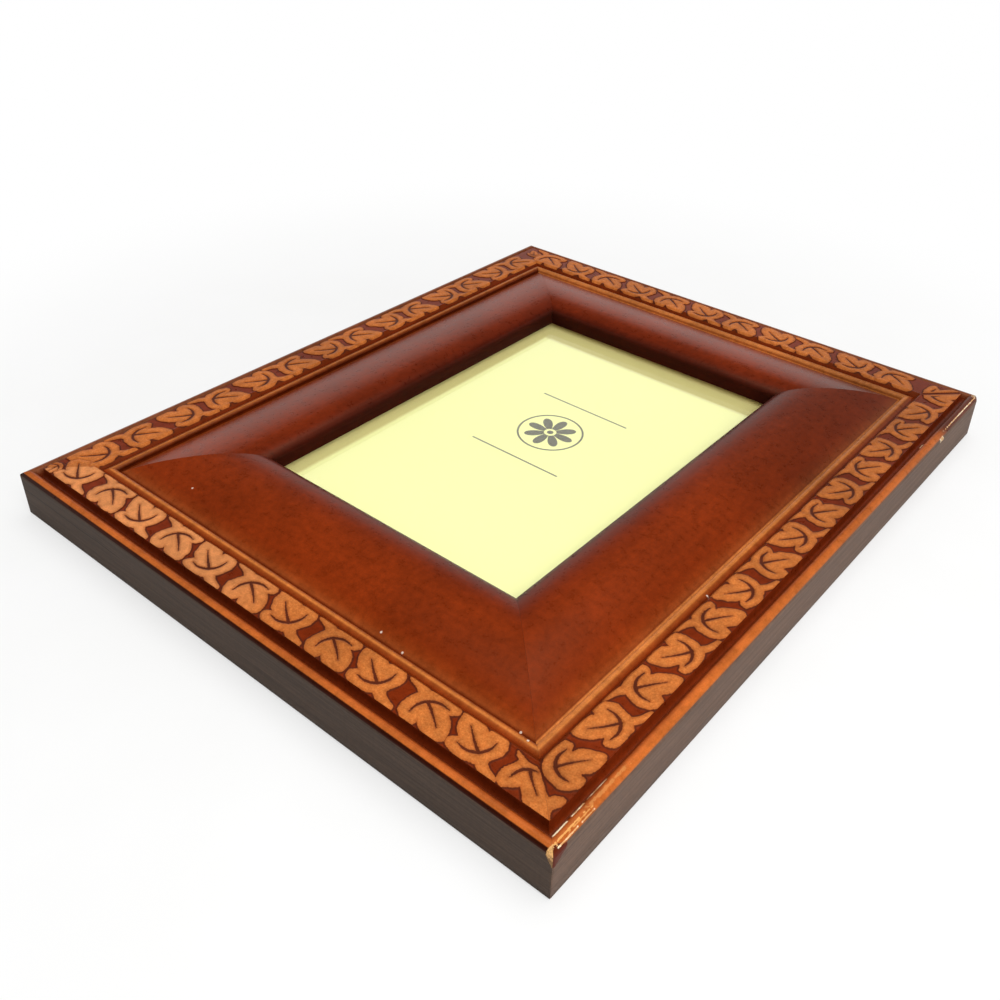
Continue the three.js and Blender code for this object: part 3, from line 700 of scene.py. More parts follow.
def stain_faces(rail, front, back, side):
    """Gives each face of a rail, still along X, the finish of its front, its back or its outer side."""
    for material in (front, back, side):
        rail.data.materials.append(material)
    for face in rail.data.polygons:
        hidden = face.normal.z < -0.6 or abs(face.normal.x) > 0.6
        behind = face.center.z < (GLASS_SEAT + 5 * HAIR) * MM and face.center.y > BEAD_FROM[0] * MM
        outer = face.normal.y < -0.6 and face.center.y < 0.36 * MM
        face.material_index = 2 if outer else 1 if hidden or behind else 0


# Material helpers

def new_material(name):
    material = bpy.data.materials.new(name)
    material.use_nodes = True
    material.node_tree.nodes.clear()
    return material, material.node_tree


def put(tree, kind, inputs=None, **settings):
    """Adds a node, sets it, and feeds its inputs from sockets or with plain values."""
    node = tree.nodes.new(kind)
    for name, value in settings.items():
        setattr(node, name, value)
    for name, value in (inputs or {}).items():
        socket = node.inputs[name]
        if isinstance(value, bpy.types.NodeSocket):
            tree.links.new(value, socket)
        elif hasattr(socket.default_value, "__len__") and len(socket.default_value) == 4 and len(value) == 3:
            socket.default_value = (*value, 1)
        else:
            socket.default_value = value
    return node


def calc(tree, operation, a, b=0.0, c=0.0):
    return put(tree, 'ShaderNodeMath', {0: a, 1: b, 2: c}, operation=operation).outputs[0]


def times(tree, a, b):
    return calc(tree, 'MULTIPLY', a, b)


def plus(tree, a, b):
    return calc(tree, 'ADD', a, b)


def less(tree, a, b):
    return calc(tree, 'SUBTRACT', a, b)


def either(tree, a, b):
    return calc(tree, 'MAXIMUM', a, b)


def scaled(tree, value, factor, offset):
    return calc(tree, 'MULTIPLY_ADD', value, factor, offset)


def size_of(tree, value):
    return calc(tree, 'ABSOLUTE', value)


def calc_vector(tree, operation, *vectors, gives="Vector"):
    return put(tree, 'ShaderNodeVectorMath', dict(enumerate(vectors)), operation=operation).outputs[gives]


def split(tree, vector):
    return put(tree, 'ShaderNodeSeparateXYZ', {0: vector}).outputs


def span(tree, value, low, high, to_low=0.0, to_high=1.0):
    """Smoothly maps a number's span to another, held at its ends."""
    return put(tree, 'ShaderNodeMapRange',
               {"Value": value, "From Min": low, "From Max": high, "To Min": to_low, "To Max": to_high},
               interpolation_type='SMOOTHSTEP').outputs[0]


def blend_colours(tree, share, a, b, way='MIX'):
    node = put(tree, 'ShaderNodeMix', {0: share, 6: a, 7: b}, data_type='RGBA', blend_type=way)
    return node.outputs[2]


def noise(tree, vector, scale, detail=3.0, roughness=0.55):
    return put(tree, 'ShaderNodeTexNoise',
               {"Vector": vector, "Scale": scale, "Detail": detail, "Roughness": roughness}).outputs["Fac"]


def number(tree, name):
    return put(tree, 'ShaderNodeAttribute', attribute_name=name).outputs["Fac"]


def place_vector(tree, x, y, z):
    return put(tree, 'ShaderNodeCombineXYZ', {0: x, 1: y, 2: z}).outputs[0]


def object_mm(tree):
    """Object coordinates in mm."""
    where = put(tree, 'ShaderNodeTexCoord').outputs["Object"]
    return calc_vector(tree, 'MULTIPLY', where, (1 / MM, 1 / MM, 1 / MM))


def shade_group(name, takes, gives):
    """A shader group with named inputs (name, kind, value) and outputs (name, kind)."""
    tree = bpy.data.node_groups.new(name, 'ShaderNodeTree')
    for socket_name, kind, value in takes:
        socket = tree.interface.new_socket(name=socket_name, in_out='INPUT', socket_type=kind)
        if value is not None:
            socket.default_value = value
    for socket_name, kind in gives:
        tree.interface.new_socket(name=socket_name, in_out='OUTPUT', socket_type=kind)
    enter, leave = tree.nodes.new('NodeGroupInput'), tree.nodes.new('NodeGroupOutput')
    return tree, enter.outputs, leave.inputs


def use_group(tree, shared, inputs):
    node = tree.nodes.new('ShaderNodeGroup')
    node.node_tree = shared
    for name, value in inputs.items():
        if isinstance(value, bpy.types.NodeSocket):
            tree.links.new(value, node.inputs[name])
        else:
            node.inputs[name].default_value = value
    return node.outputs


def surface(tree, inputs, bump=None, strength=0.5, distance=0.1 * MM):
    """The Principled shader and the output, with a bump from a height."""
    settings = dict(inputs)
    if bump is not None:
        settings["Normal"] = put(tree, 'ShaderNodeBump', {
            "Height": bump, "Strength": strength, "Distance": distance}).outputs[0]
    shader = put(tree, 'ShaderNodeBsdfPrincipled', settings)
    put(tree, 'ShaderNodeOutputMaterial', {"Surface": shader.outputs[0]})
    return shader


VALUE, VECTOR = 'NodeSocketFloat', 'NodeSocketVector'


def wood_grain_group():
    """Streaks, pores and slow clouds of tone that run along X of the vector it is given, in mm."""
    tree, take, give = shade_group(
        "Wood grain", [("Vector", VECTOR, None), ("Stretch", VALUE, 0.05)],
        [("Streaks", VALUE), ("Pores", VALUE), ("Clouds", VALUE)])
    parts = split(tree, take["Vector"])
    along = times(tree, parts[0], take["Stretch"])
    bend = noise(tree, place_vector(tree, times(tree, parts[0], 0.02), parts[1], parts[2]), 0.12, 1)
    across = plus(tree, parts[1], times(tree, bend, 2.2))
    streaks = noise(tree, place_vector(tree, along, across, parts[2]), 1.1, 6, 0.62)
    tree.links.new(span(tree, streaks, 0.3, 0.72), give["Streaks"])
    dashes = noise(tree, place_vector(tree, times(tree, parts[0], 0.35), across, parts[2]), 4.2, 2, 0.5)
    tree.links.new(span(tree, dashes, 0.57, 0.7), give["Pores"])
    tree.links.new(span(tree, noise(tree, take["Vector"], 0.055, 3, 0.5), 0.3, 0.7), give["Clouds"])
    return tree


def specks_group():
    """Scattered small round specks of dust."""
    tree, take, give = shade_group(
        "Specks", [("Vector", VECTOR, None), ("Spacing", VALUE, 6.0), ("Radius", VALUE, 0.12),
                   ("Share", VALUE, 0.3)], [("Mask", VALUE)])
    shrink = calc(tree, 'DIVIDE', 1.0, take["Spacing"])
    place = calc_vector(tree, 'MULTIPLY', take["Vector"], place_vector(tree, shrink, shrink, shrink))
    cells = put(tree, 'ShaderNodeTexVoronoi', {"Vector": place, "Scale": 1.0}, feature='F1').outputs
    lot = split(tree, cells["Color"])
    chosen = calc(tree, 'LESS_THAN', lot[0], take["Share"])
    radius = times(tree, times(tree, take["Radius"], shrink), plus(tree, lot[1], 0.4))
    near = calc(tree, 'LESS_THAN', cells["Distance"], radius)
    tree.links.new(times(tree, chosen, near), give["Mask"])
    return tree


def worn_patch_group():
    """A ragged patch round a place in the frame, in mm, where the finish is rubbed or knocked off."""
    tree, take, give = shade_group(
        "Worn patch", [("Vector", VECTOR, None), ("Centre", VECTOR, None), ("Reach", VECTOR, None),
                       ("Ragged", VALUE, 1.0)], [("Mask", VALUE)])
    offset = calc_vector(tree, 'SUBTRACT', take["Vector"], take["Centre"])
    share = calc_vector(tree, 'DIVIDE', offset, take["Reach"])
    share = calc_vector(tree, 'ABSOLUTE', share)
    parts = split(tree, share)
    most = either(tree, parts[0], either(tree, parts[1], parts[2]))
    torn = less(tree, noise(tree, take["Vector"], 1.3, 4, 0.65), 0.5)
    edge = scaled(tree, torn, take["Ragged"], most)
    tree.links.new(span(tree, edge, 1.05, 0.85), give["Mask"])
    return tree


GROUPS = {}


def group(name):
    makers = {"Wood grain": wood_grain_group, "Specks": specks_group, "Worn patch": worn_patch_group}
    if name not in GROUPS:
        GROUPS[name] = makers[name]()
    return GROUPS[name]


# Materials

# Knocks and rubbing on the right rail. Each patch: its middle in mm, in from the outer face, along from the
# near corner and up; how far it reaches; how ragged it is; and how strongly it shows.
BARE_WEAR = (
    ((2.6, 5.2, 13.0), (0.2, 2.3, 1.2), 1.0, 1.0),
    ((2.65, 10.5, 13.0), (0.18, 1.9, 1.2), 1.2, 0.95),
    ((2.75, 16.7, 13.0), (0.13, 2.8, 1.2), 1.3, 0.8),
    ((0.62, 4.9, 12.9), (0.12, 3.2, 0.9), 1.6, 0.9),
    ((0.62, 10.7, 12.9), (0.1, 2.0, 0.9), 2.0, 0.7),
    ((1.1, 198.7, 13.2), (0.14, 12.6, 0.9), 1.9, 0.8),
    ((1.6, 210.8, 13.2), (0.5, 1.2, 1.0), 2.6, 0.4),
    ((0.2, 181.3, 12.4), (0.3, 1.3, 0.7), 1.8, 0.7),
    ((2.9, 172.3, 12.8), (0.25, 1.2, 1.0), 1.8, 0.7),
)
RUBBED_WEAR = (
    ((1.4, 5.9, 13.3), (0.17, 4.2, 0.9), 3.2, 0.85),
    ((1.1, 9.9, 13.3), (0.13, 3.2, 0.9), 3.4, 0.6),
    ((1.6, 18.3, 13.3), (0.3, 6.0, 0.9), 3.6, 0.3),
)
# The near corner's chip: its top, and how far it runs back along X, along Y and down from there, in mm
CHIP_TOP = (HALF_W, -HALF_H, 12.6)
CHIP_REACH = (1.9, 4.6, 3.6)
# Pale specks of filler: rail, place along it and distance in from its outer face, in mm
FILLER_SPOTS = (
    ("rail_bottom", 65.2, 18.3), ("rail_bottom", 68.1, 16.9), ("rail_bottom", -46.2, 24.2),
    ("rail_bottom", 25.4, 19.8), ("rail_bottom", 32.8, 18.7), ("rail_right", -29.4, 15.2),
)
FILLER_R = (0.2, 0.32)
# Slow darkening round given places: middle and reach in the frame, in mm, and how much darker
DARKER_PATCHES = (
    ((HALF_W - 20, 66.0, 12.0), (34.0, 92.0, 30.0), 0.44),
    ((-72.0, 10.0, 12.0), (38.0, 88.0, 30.0), 0.16),
)
# The crack in the bottom rail's side: its height, and where it fades in along the rail, in mm
CRACK_Z, CRACK_ENDS = 7.8, (-40.0, -46.0)
# The rails are numbered in the materials in steps of the first, and the second sets their grain apart, in mm
BOARD_STEP, GRAIN_APART = 0.29, 400.0
# The rails rubbed by hands; the materials paint shade on the sides and coves of the other two
RUBBED_AND_UNSHADED_RAILS = ("rail_right", "rail_top")


def grain_along(tree, along, board):
    """Places along a rail, set apart from the other rails' so that no two share their grain."""
    return plus(tree, along, times(tree, board, GRAIN_APART))


def knocks(tree, where, colour, mottle, rubbed_rail, finishes):
    """Lays the knocks and the rubbing that bared the wood over a colour, and returns it with their mask."""
    def patches(table):
        mask = 0.0
        for (inward, along, up), reach, ragged, strength in table:
            patch = use_group(tree, group("Worn patch"), {
                "Vector": where, "Centre": (HALF_W - inward, along - HALF_H, up), "Reach": reach,
                "Ragged": ragged})
            mask = either(tree, mask, times(tree, patch["Mask"], strength))
        return mask

    offset = calc_vector(tree, 'SUBTRACT', where, CHIP_TOP)
    slant = (-1 / CHIP_REACH[0], 1 / CHIP_REACH[1], -1 / CHIP_REACH[2])
    depth = calc_vector(tree, 'DOT_PRODUCT', offset, slant, gives="Value")
    torn = less(tree, noise(tree, where, 1.6, 4, 0.65), 0.5)
    chip = span(tree, scaled(tree, torn, 0.5, depth), 1.04, 0.94)
    height = split(tree, where)[2]
    below_bead = span(tree, scaled(tree, torn, 1.6, height), 13.35, 13.15)
    stained = times(tree, rubbed_rail, below_bead)
    tan = blend_colours(tree, span(tree, scaled(tree, torn, 9.0, height), 10.6, 13.4),
                        shade(120, 88, 56), shade(222, 170, 108))
    colour = blend_colours(tree, chip, colour, blend_colours(tree, stained, tan, shade(84, 28, 11)))
    rubbed, worn = patches(RUBBED_WEAR), patches(BARE_WEAR)
    colour = blend_colours(tree, rubbed, colour, shade(222, 160, 90))
    pale = blend_colours(tree, span(tree, mottle, 0.4, 0.6), shade(214, 160, 104), finishes.bare_wood)
    return blend_colours(tree, worn, colour, pale), worn


def side_material(finishes):
    """The rails' outer sides: a dull, almost black stain with long grain lines, painted darker on the bottom
    and left rails as painted shade.
    """
    material, tree = new_material("Dull side stain with painted shade")
    along, board, rubbed = (number(tree, n) for n in ("along", "board", "rubbed"))
    where = object_mm(tree)
    height = split(tree, where)[2]
    offset = grain_along(tree, along, board)
    place = place_vector(tree, offset, times(tree, board, 60.0), height)
    mottle = noise(tree, place, 0.9, 5, 0.62)
    lines = noise(tree, place_vector(tree, times(tree, offset, 0.02), board, height), 1.5, 6, 0.75)
    # The bottom and left rails' sides take a darker copy of the stain: painted shade on the sides turned
    # from the light
    colour = blend_colours(tree, rubbed, shade(72, 57, 47), finishes.side)
    tone = times(tree, span(tree, lines, 0.32, 0.68, 0.72, 1.24), span(tree, mottle, 0.3, 0.7, 0.86, 1.12))
    low_edge = span(tree, height, 0.0, 2.2, 0.8, 1.0)
    tone = times(tree, tone, low_edge)
    # A long crack in the grain of the bottom rail's side
    wander = noise(tree, place_vector(tree, along, 0.0, 0.0), 0.09, 2)
    off_crack = size_of(tree, less(tree, height, scaled(tree, wander, 1.2, CRACK_Z)))
    on_bottom = calc(tree, 'LESS_THAN', board, BOARD_STEP / 3)
    crack = times(tree, span(tree, along, *CRACK_ENDS), on_bottom)
    crack = times(tree, span(tree, off_crack, 0.16, 0.05), crack)
    tone = times(tree, tone, scaled(tree, crack, -0.75, 1.0))
    colour = blend_colours(tree, 1.0, colour, place_vector(tree, tone, tone, tone), 'MULTIPLY')
    black = times(tree, less(tree, 1.0, rubbed), span(tree, height, 12.4, 12.55))
    colour = blend_colours(tree, black, colour, shade(44, 12, 5))
    colour = knocks(tree, where, colour, mottle, rubbed, finishes)[0]
    rough = scaled(tree, mottle, 0.2, 0.5)
    bump = scaled(tree, crack, -2.0, scaled(tree, lines, 0.8, mottle))
    surface(tree, {"Base Color": colour, "Roughness": rough, "Specular IOR Level": 0.14},
            bump, 0.3, 0.12 * MM)
    return material


def moulding_material(finishes):
    """The rails' fronts: stain by member, rubbed leaves, grain, wear and dust, with painted shade round the
    leaves, in two coves and on the sight wall, and a painted sheen on some leaves.
    """
    material, tree = new_material("Stained moulding with painted shade and sheen")
    along, across, board = (number(tree, n) for n in ("along", "across", "board"))
    leaf, vein, rubbed = number(tree, "leaf"), number(tree, "vein"), number(tree, "rubbed")
    where = object_mm(tree)
    height = split(tree, where)[2]
    place = place_vector(tree, grain_along(tree, along, board), across, height)
    grain = use_group(tree, group("Wood grain"), {"Vector": place, "Stretch": 0.05})
    mottle = noise(tree, place, 0.5, 5, 0.62)

    # Stain by member, from the outer side to the sight edge, where the last stops go near black: a darker
    # stain, and painted shade on the wall that drops to the glass
    ramp = put(tree, 'ShaderNodeValToRGB', {"Fac": calc(tree, 'DIVIDE', across, RAIL_W)})
    stops = (
        (0.0, finishes.side), (0.36, shade(150, 84, 46)), (0.6, shade(180, 94, 38)), (1.6, finishes.bead),
        (2.2, shade(160, 76, 28)), (2.7, shade(118, 48, 14)), (3.3, shade(110, 36, 5)),
        (4.5, shade(106, 36, 10)), (5.0, finishes.ground), (13.3, finishes.ground),
        (14.1, shade(104, 38, 8)), (14.85, shade(102, 31, 3)), (15.3, shade(130, 50, 12)),
        (16.0, shade(148, 70, 24)), (16.4, shade(200, 118, 54)), (16.75, shade(178, 98, 42)),
        (17.3, shade(124, 50, 14)), (17.6, shade(96, 30, 4)), (18.2, shade(96, 30, 4)),
        (18.8, shade(142, 64, 24)), (20.3, shade(128, 48, 10)), (22.6, finishes.crown),
        (35.0, finishes.crown), (39.5, shade(112, 36, 6)), (43.5, shade(94, 27, 6)),
        (45.2, shade(66, 14, 3)), (45.8, shade(50, 6, 1)), (RAIL_W, shade(46, 5, 1)),
    )
    elements = ramp.color_ramp.elements
    while len(elements) < len(stops):
        elements.new(0.5)
    for element, (t, colour) in zip(elements, stops):
        element.position = t / RAIL_W
    for element, (t, colour) in zip(elements, stops):
        element.color = (*tuple(colour)[:3], 1)
    colour = ramp.outputs[0]

    # Two rails, the bottom and the left, get a black line under the bead
    under_bead = span(tree, across, 1.0, 0.75)
    bottom_or_left_rail = less(tree, 1.0, rubbed)
    colour = blend_colours(tree, times(tree, bottom_or_left_rail, under_bead), colour, shade(44, 12, 5))

    # The right rail's bead is dark at its far end, and the far rails' beads are dull
    on_right = calc(tree, 'LESS_THAN', size_of(tree, less(tree, board, BOARD_STEP)), BOARD_STEP / 3)
    dark_bead = times(tree, span(tree, along, 72.0, 82.0), span(tree, across, BAND_FROM, 3.4))
    colour = blend_colours(tree, times(tree, on_right, dark_bead), colour, shade(92, 42, 26))
    far_rail = calc(tree, 'GREATER_THAN', board, 0.5)
    far_bead = times(tree, far_rail, span(tree, across, 3.6, 3.0, 0.0, 0.85))
    colour = blend_colours(tree, far_bead, colour, shade(112, 60, 36))
    groove = times(tree, span(tree, across, 16.4, 16.8), span(tree, across, 18.6, 18.2))
    colour = blend_colours(tree, times(tree, rubbed, groove), colour, shade(200, 118, 58))

    # Rubbed leaves over the dark ground, with a dark line round them, partly burnt and partly painted edge
    # shadow, and dark veins
    on_band = span(tree, across, BAND_FROM - 0.6, BAND_FROM - 0.3)
    burn_and_edge_shadow = less(tree, 1.0, span(tree, size_of(tree, plus(tree, leaf, 0.12)), 0.08, 0.42))
    colour = blend_colours(tree, times(tree, burn_and_edge_shadow, 0.7), colour, shade(60, 16, 5))
    ragged = noise(tree, place, 2.4, 3, 0.6)
    leaf_tone = blend_colours(tree, span(tree, ragged, 0.3, 0.7), shade(176, 94, 38), finishes.leaf)
    leaf_tone = blend_colours(tree, times(tree, grain["Streaks"], 0.12), leaf_tone, shade(148, 74, 28))
    # Toward the left end of the bottom rail the leaves are painted paler and pinker: a painted sheen
    far_leaf_sheen = times(tree, bottom_or_left_rail, span(tree, along, 10.0, -20.0, 0.0, 0.55))
    far_leaf_sheen = times(tree, far_leaf_sheen, calc(tree, 'LESS_THAN', board, BOARD_STEP / 3))
    leaf_tone = blend_colours(tree, far_leaf_sheen, leaf_tone, shade(222, 148, 92))
    # Leaves darken toward their rims: painted shade of their swelling
    rim_shade = span(tree, leaf, 0.9, 0.15, 0.0, 0.42)
    leaf_tone = blend_colours(tree, rim_shade, leaf_tone, shade(138, 62, 18))
    edge = scaled(tree, ragged, 0.3, less(tree, leaf, 0.15))
    on_leaf = times(tree, span(tree, edge, -0.04, 0.16), on_band)
    colour = blend_colours(tree, on_leaf, colour, leaf_tone)
    vein_edge = scaled(tree, ragged, 0.36, less(tree, vein, 0.18))
    # Painted shade beside the veins, where the leaf dips
    vein_side_shade = times(tree, span(tree, vein_edge, 0.7, 0.1, 0.0, 0.45), on_leaf)
    colour = blend_colours(tree, vein_side_shade, colour, shade(124, 52, 16))
    in_vein = times(tree, span(tree, vein_edge, 0.12, -0.06), on_leaf)
    colour = blend_colours(tree, times(tree, in_vein, 0.95), colour, shade(74, 22, 7))

    # Grain: darker streaks and pores, fine mottling and slow changes of tone; then painted shade in two
    # rails' coves, and darker patches
    tone = scaled(tree, grain["Streaks"], 0.1, 0.94)
    tone = times(tree, tone, scaled(tree, grain["Clouds"], 0.22, 0.89))
    tone = times(tree, tone, scaled(tree, grain["Pores"], -0.015, 1.0))
    tone = times(tree, tone, span(tree, mottle, 0.3, 0.7, 0.84, 1.14))
    tone = times(tree, tone, span(tree, noise(tree, place, 3.2, 2, 0.7), 0.3, 0.7, 0.91, 1.09))
    # The cove is painted darker on the bottom and left rails: painted shade in the hollow on the rails
    # turned from the light
    cove = times(tree, span(tree, across, 3.2, 3.8), span(tree, across, 4.75, 4.55))
    tone = times(tree, tone, scaled(tree, times(tree, cove, bottom_or_left_rail), -0.35, 1.0))
    dull = times(tree, far_rail, span(tree, across, 14.6, 15.2))
    dull = times(tree, dull, span(tree, across, 18.8, 18.2))
    tone = times(tree, tone, scaled(tree, dull, -0.22, 1.0))
    inner = span(tree, across, 13.0, 20.0, 0.5, 1.0)
    # Darker round each given place, fading out from its middle
    for centre, reach, darker in DARKER_PATCHES:
        offset = calc_vector(tree, 'SUBTRACT', where, centre)
        share = calc_vector(tree, 'DIVIDE', offset, reach)
        away = calc_vector(tree, 'LENGTH', share, gives="Value")
        deep = times(tree, inner, span(tree, away, 0.35, 1.0, darker, 0.0))
        tone = times(tree, tone, less(tree, 1.0, deep))
    colour = blend_colours(tree, 1.0, colour, place_vector(tree, tone, tone, tone), 'MULTIPLY')

    # Knocks that bared the wood, and dust
    colour, worn = knocks(tree, where, colour, mottle, rubbed, finishes)
    flat = calc_vector(tree, 'MULTIPLY', where, (1, 1, 0))
    filled = 0.0
    for name, spot, inward in FILLER_SPOTS:
        x, y = to_frame(name, spot, inward)
        away = calc_vector(tree, 'DISTANCE', flat, (float(x), float(y), 0), gives="Value")
        filled = either(tree, filled, span(tree, away, FILLER_R[1], FILLER_R[0]))
    colour = blend_colours(tree, times(tree, filled, 0.8), colour, shade(226, 206, 190))
    specks = use_group(tree, group("Specks"),
                       {"Vector": place, "Spacing": 7.0, "Radius": 0.15, "Share": 0.14})
    colour = blend_colours(tree, times(tree, specks["Mask"], 0.75), colour, shade(220, 188, 168))

    rough = scaled(tree, mottle, 0.14, 0.22)
    rough = scaled(tree, on_leaf, 0.16, rough)
    rough = scaled(tree, burn_and_edge_shadow, 0.25, rough)
    rough = scaled(tree, worn, 0.3, rough)
    rough = scaled(tree, span(tree, across, 45.0, 45.8), 0.6, rough)
    bump = scaled(tree, grain["Streaks"], 0.3, times(tree, grain["Pores"], -0.02))
    bump = scaled(tree, worn, -0.6, scaled(tree, mottle, 0.4, bump))
    surface(tree, {"Base Color": colour, "Roughness": rough, "Specular IOR Level": 0.16,
                   "Specular Tint": (1.0, 0.72, 0.45, 1.0)}, bump, 0.25, 0.12 * MM)
    return material


def back_wood_material():
    """The rails' undersides, rebates and mitres: thinly stained wood with open grain."""
    material, tree = new_material("Thinly stained back")
    along, across, board = (number(tree, n) for n in ("along", "across", "board"))
    height = split(tree, object_mm(tree))[2]
    place = place_vector(tree, grain_along(tree, along, board), across, height)
    grain = use_group(tree, group("Wood grain"), {"Vector": place, "Stretch": 0.04})
    colour = blend_colours(tree, grain["Streaks"], shade(92, 54, 34), shade(142, 96, 62))
    colour = blend_colours(tree, times(tree, grain["Pores"], 0.6), colour, shade(60, 34, 22))
    colour = blend_colours(tree, times(tree, grain["Clouds"], 0.3), colour, shade(104, 64, 42))
    surface(tree, {"Base Color": colour, "Roughness": scaled(tree, grain["Pores"], 0.15, 0.62),
                   "Specular IOR Level": 0.3},
            less(tree, grain["Streaks"], grain["Pores"]), 0.4, 0.15 * MM)
    return material


def glass_material():
    """Clear float glass; lamps and soft light pass through it."""
    material, tree = new_material("Clear glass")
    glass = put(tree, 'ShaderNodeBsdfPrincipled', {
        "Base Color": (0.985, 1.0, 0.99, 1), "Roughness": 0.0, "IOR": 1.5, "Transmission Weight": 1.0})
    through = put(tree, 'ShaderNodeBsdfTransparent', {"Color": (0.99, 1.0, 0.99, 1)})
    rays = put(tree, 'ShaderNodeLightPath').outputs
    share = either(tree, rays["Is Shadow Ray"], rays["Is Diffuse Ray"])
    both = put(tree, 'ShaderNodeMixShader', {0: share, 1: glass.outputs[0], 2: through.outputs[0]})
    put(tree, 'ShaderNodeOutputMaterial', {"Surface": both.outputs[0]})
    return material


# The slip's print, in mm: how far the rosette lies above the frame's middle, the radii of its dot, eye,
# petals and ring, the heights of the two rules and half their length
ROSETTE_Y, DOT_R, EYE_R, PETAL_R, RING_R = 6.0, 1.0, 1.7, 7.5, 9.3
RULES_Y, RULE_HALF = (-10.5, 22.5), 15.0


def printed_mask(tree, x, y):
    """Where the slip is printed: a rosette of eight petals in a ring, between two rules."""
    up = less(tree, y, ROSETTE_Y)
    away = calc(tree, 'SQRT', plus(tree, times(tree, x, x), times(tree, up, up)))
    turn = times(tree, calc(tree, 'ARCTAN2', up, x), 4.0)
    petals = times(tree, calc(tree, 'SQRT', size_of(tree, calc(tree, 'COSINE', turn))), PETAL_R)
    ink = span(tree, less(tree, away, petals), 0.08, -0.08)
    ink = times(tree, ink, span(tree, away, EYE_R, EYE_R + 0.2))
    ink = either(tree, ink, span(tree, size_of(tree, less(tree, away, RING_R)), 0.34, 0.22))
    ink = either(tree, ink, span(tree, away, DOT_R, DOT_R - 0.15))
    for rule_y in RULES_Y:
        rule = span(tree, size_of(tree, less(tree, y, rule_y)), 0.3, 0.2)
        ink = either(tree, ink, times(tree, rule, calc(tree, 'LESS_THAN', size_of(tree, x), RULE_HALF)))
    return ink


def paper_material(finishes):
    """The slip: pale paper with its print, and a painted shadow of the rails along its top edge and its left
    side.
    """
    material, tree = new_material("Printed slip with painted shadow")
    where = object_mm(tree)
    fibres = noise(tree, where, 1.6, 4, 0.6)
    colour = blend_colours(tree, times(tree, fibres, 0.06), finishes.paper, shade(246, 236, 150))
    x, y, _ = split(tree, where)
    side, end = plus(tree, HALF_W - RAIL_W, x), less(tree, HALF_H - RAIL_W, y)
    # A painted shadow of the top and left rails on the paper beside their edges
    rail_shadow = either(tree, span(tree, end, 9.5, 7.0, 0.0, 0.62), span(tree, end, 6.0, -2.0, 0.0, 1.0))
    rail_shadow = either(tree, rail_shadow, span(tree, side, 4.6, 3.0, 0.0, 0.6))
    colour = blend_colours(tree, rail_shadow, colour, shade(180, 156, 88))
    worn_ink = span(tree, noise(tree, where, 5.0, 2), 0.2, 0.5, 0.78, 0.96)
    ink = times(tree, printed_mask(tree, x, y), worn_ink)
    colour = blend_colours(tree, ink, colour, shade(92, 88, 84))
    surface(tree, {"Base Color": colour, "Roughness": 0.65, "Specular IOR Level": 0.3},
            fibres, 0.15, 0.05 * MM)
    return material


def plain_stock_material(name, light, dark, roughness, scale):
    """Card, hardboard and other pressed stock: mottled fibres of two tones."""
    material, tree = new_material(name)
    where = object_mm(tree)
    coarse, fine = noise(tree, where, scale, 5, 0.65), noise(tree, where, scale * 6, 3, 0.6)
    share = span(tree, scaled(tree, fine, 0.45, times(tree, coarse, 0.55)), 0.35, 0.65)
    surface(tree, {"Base Color": blend_colours(tree, share, dark, light), "Roughness": roughness,
                   "Specular IOR Level": 0.2}, share, 0.3, 0.1 * MM)
    return material


def flock_material(name, light, dark):
    """Black flocked paper: short fibres that catch light at a glancing angle."""
    material, tree = new_material(name)
    where = object_mm(tree)
    pile, clumps = noise(tree, where, 6.5, 4, 0.7), noise(tree, where, 0.35, 3, 0.6)
    share = span(tree, scaled(tree, clumps, 0.4, times(tree, pile, 0.6)), 0.35, 0.68)
    surface(tree, {"Base Color": blend_colours(tree, share, dark, light), "Roughness": 0.95,
                   "Specular IOR Level": 0.15, "Sheen Weight": 0.25, "Sheen Roughness": 0.5},
            pile, 0.6, 0.12 * MM)
    return material


def metal_material(name, light, dark, roughness):
    """Stamped or drawn metal: fine rubbing marks and duller patches."""
    material, tree = new_material(name)
    where = object_mm(tree)
    marks = noise(tree, calc_vector(tree, 'MULTIPLY', where, (0.6, 5.0, 3.0)), 1.4, 4, 0.6)
    patches = span(tree, noise(tree, where, 0.5, 4, 0.6), 0.4, 0.65)
    colour = blend_colours(tree, patches, light, dark)
    rough = scaled(tree, patches, 0.14, scaled(tree, marks, 0.12, roughness))
    surface(tree, {"Base Color": colour, "Metallic": 1.0, "Roughness": rough}, marks, 0.12, 0.05 * MM)
    return material


def dress(nodes, material):
    """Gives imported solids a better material."""
    for node in nodes:
        slots = frame["nodes"][node].material_slots
        for slot in slots:
            slot.material = material
        if not slots:
            frame["nodes"][node].data.materials.append(material)


# The back and its hardware

BODY_OF = {node: body for body, nodes in frame["record"]["behaviour"]["bodies"].items() for node in nodes}


def copy_solid(node, ending):
    """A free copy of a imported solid, its loose triangles merged into clean faces."""
    piece = copy_piece(frame["nodes"][node], f"{node}_{ending}")
    edit(piece)
    bpy.ops.mesh.select_all(action='SELECT')
    bpy.ops.mesh.remove_doubles(threshold=0.002 * MM)
    bpy.ops.mesh.dissolve_limited(angle_limit=math.radians(1))
    bpy.ops.mesh.tris_convert_to_quads()
    close_edit()
    return piece


def rivet_profile(height):
    """A domed rivet head, its shank and its clinched end, from the head's top at 0."""
    return ((0, 0), (0.7, 0.03), (1.3, 0.11), (1.8, 0.25), (2.1, 0.42), (2.2, 0.53), (2.16, 0.6), (1, 0.6),
            (1, height - 0.4), (1.45, height - 0.4), (1.6, height - 0.3), (1.6, height - 0.06),
            (1.5, height), (0, height))


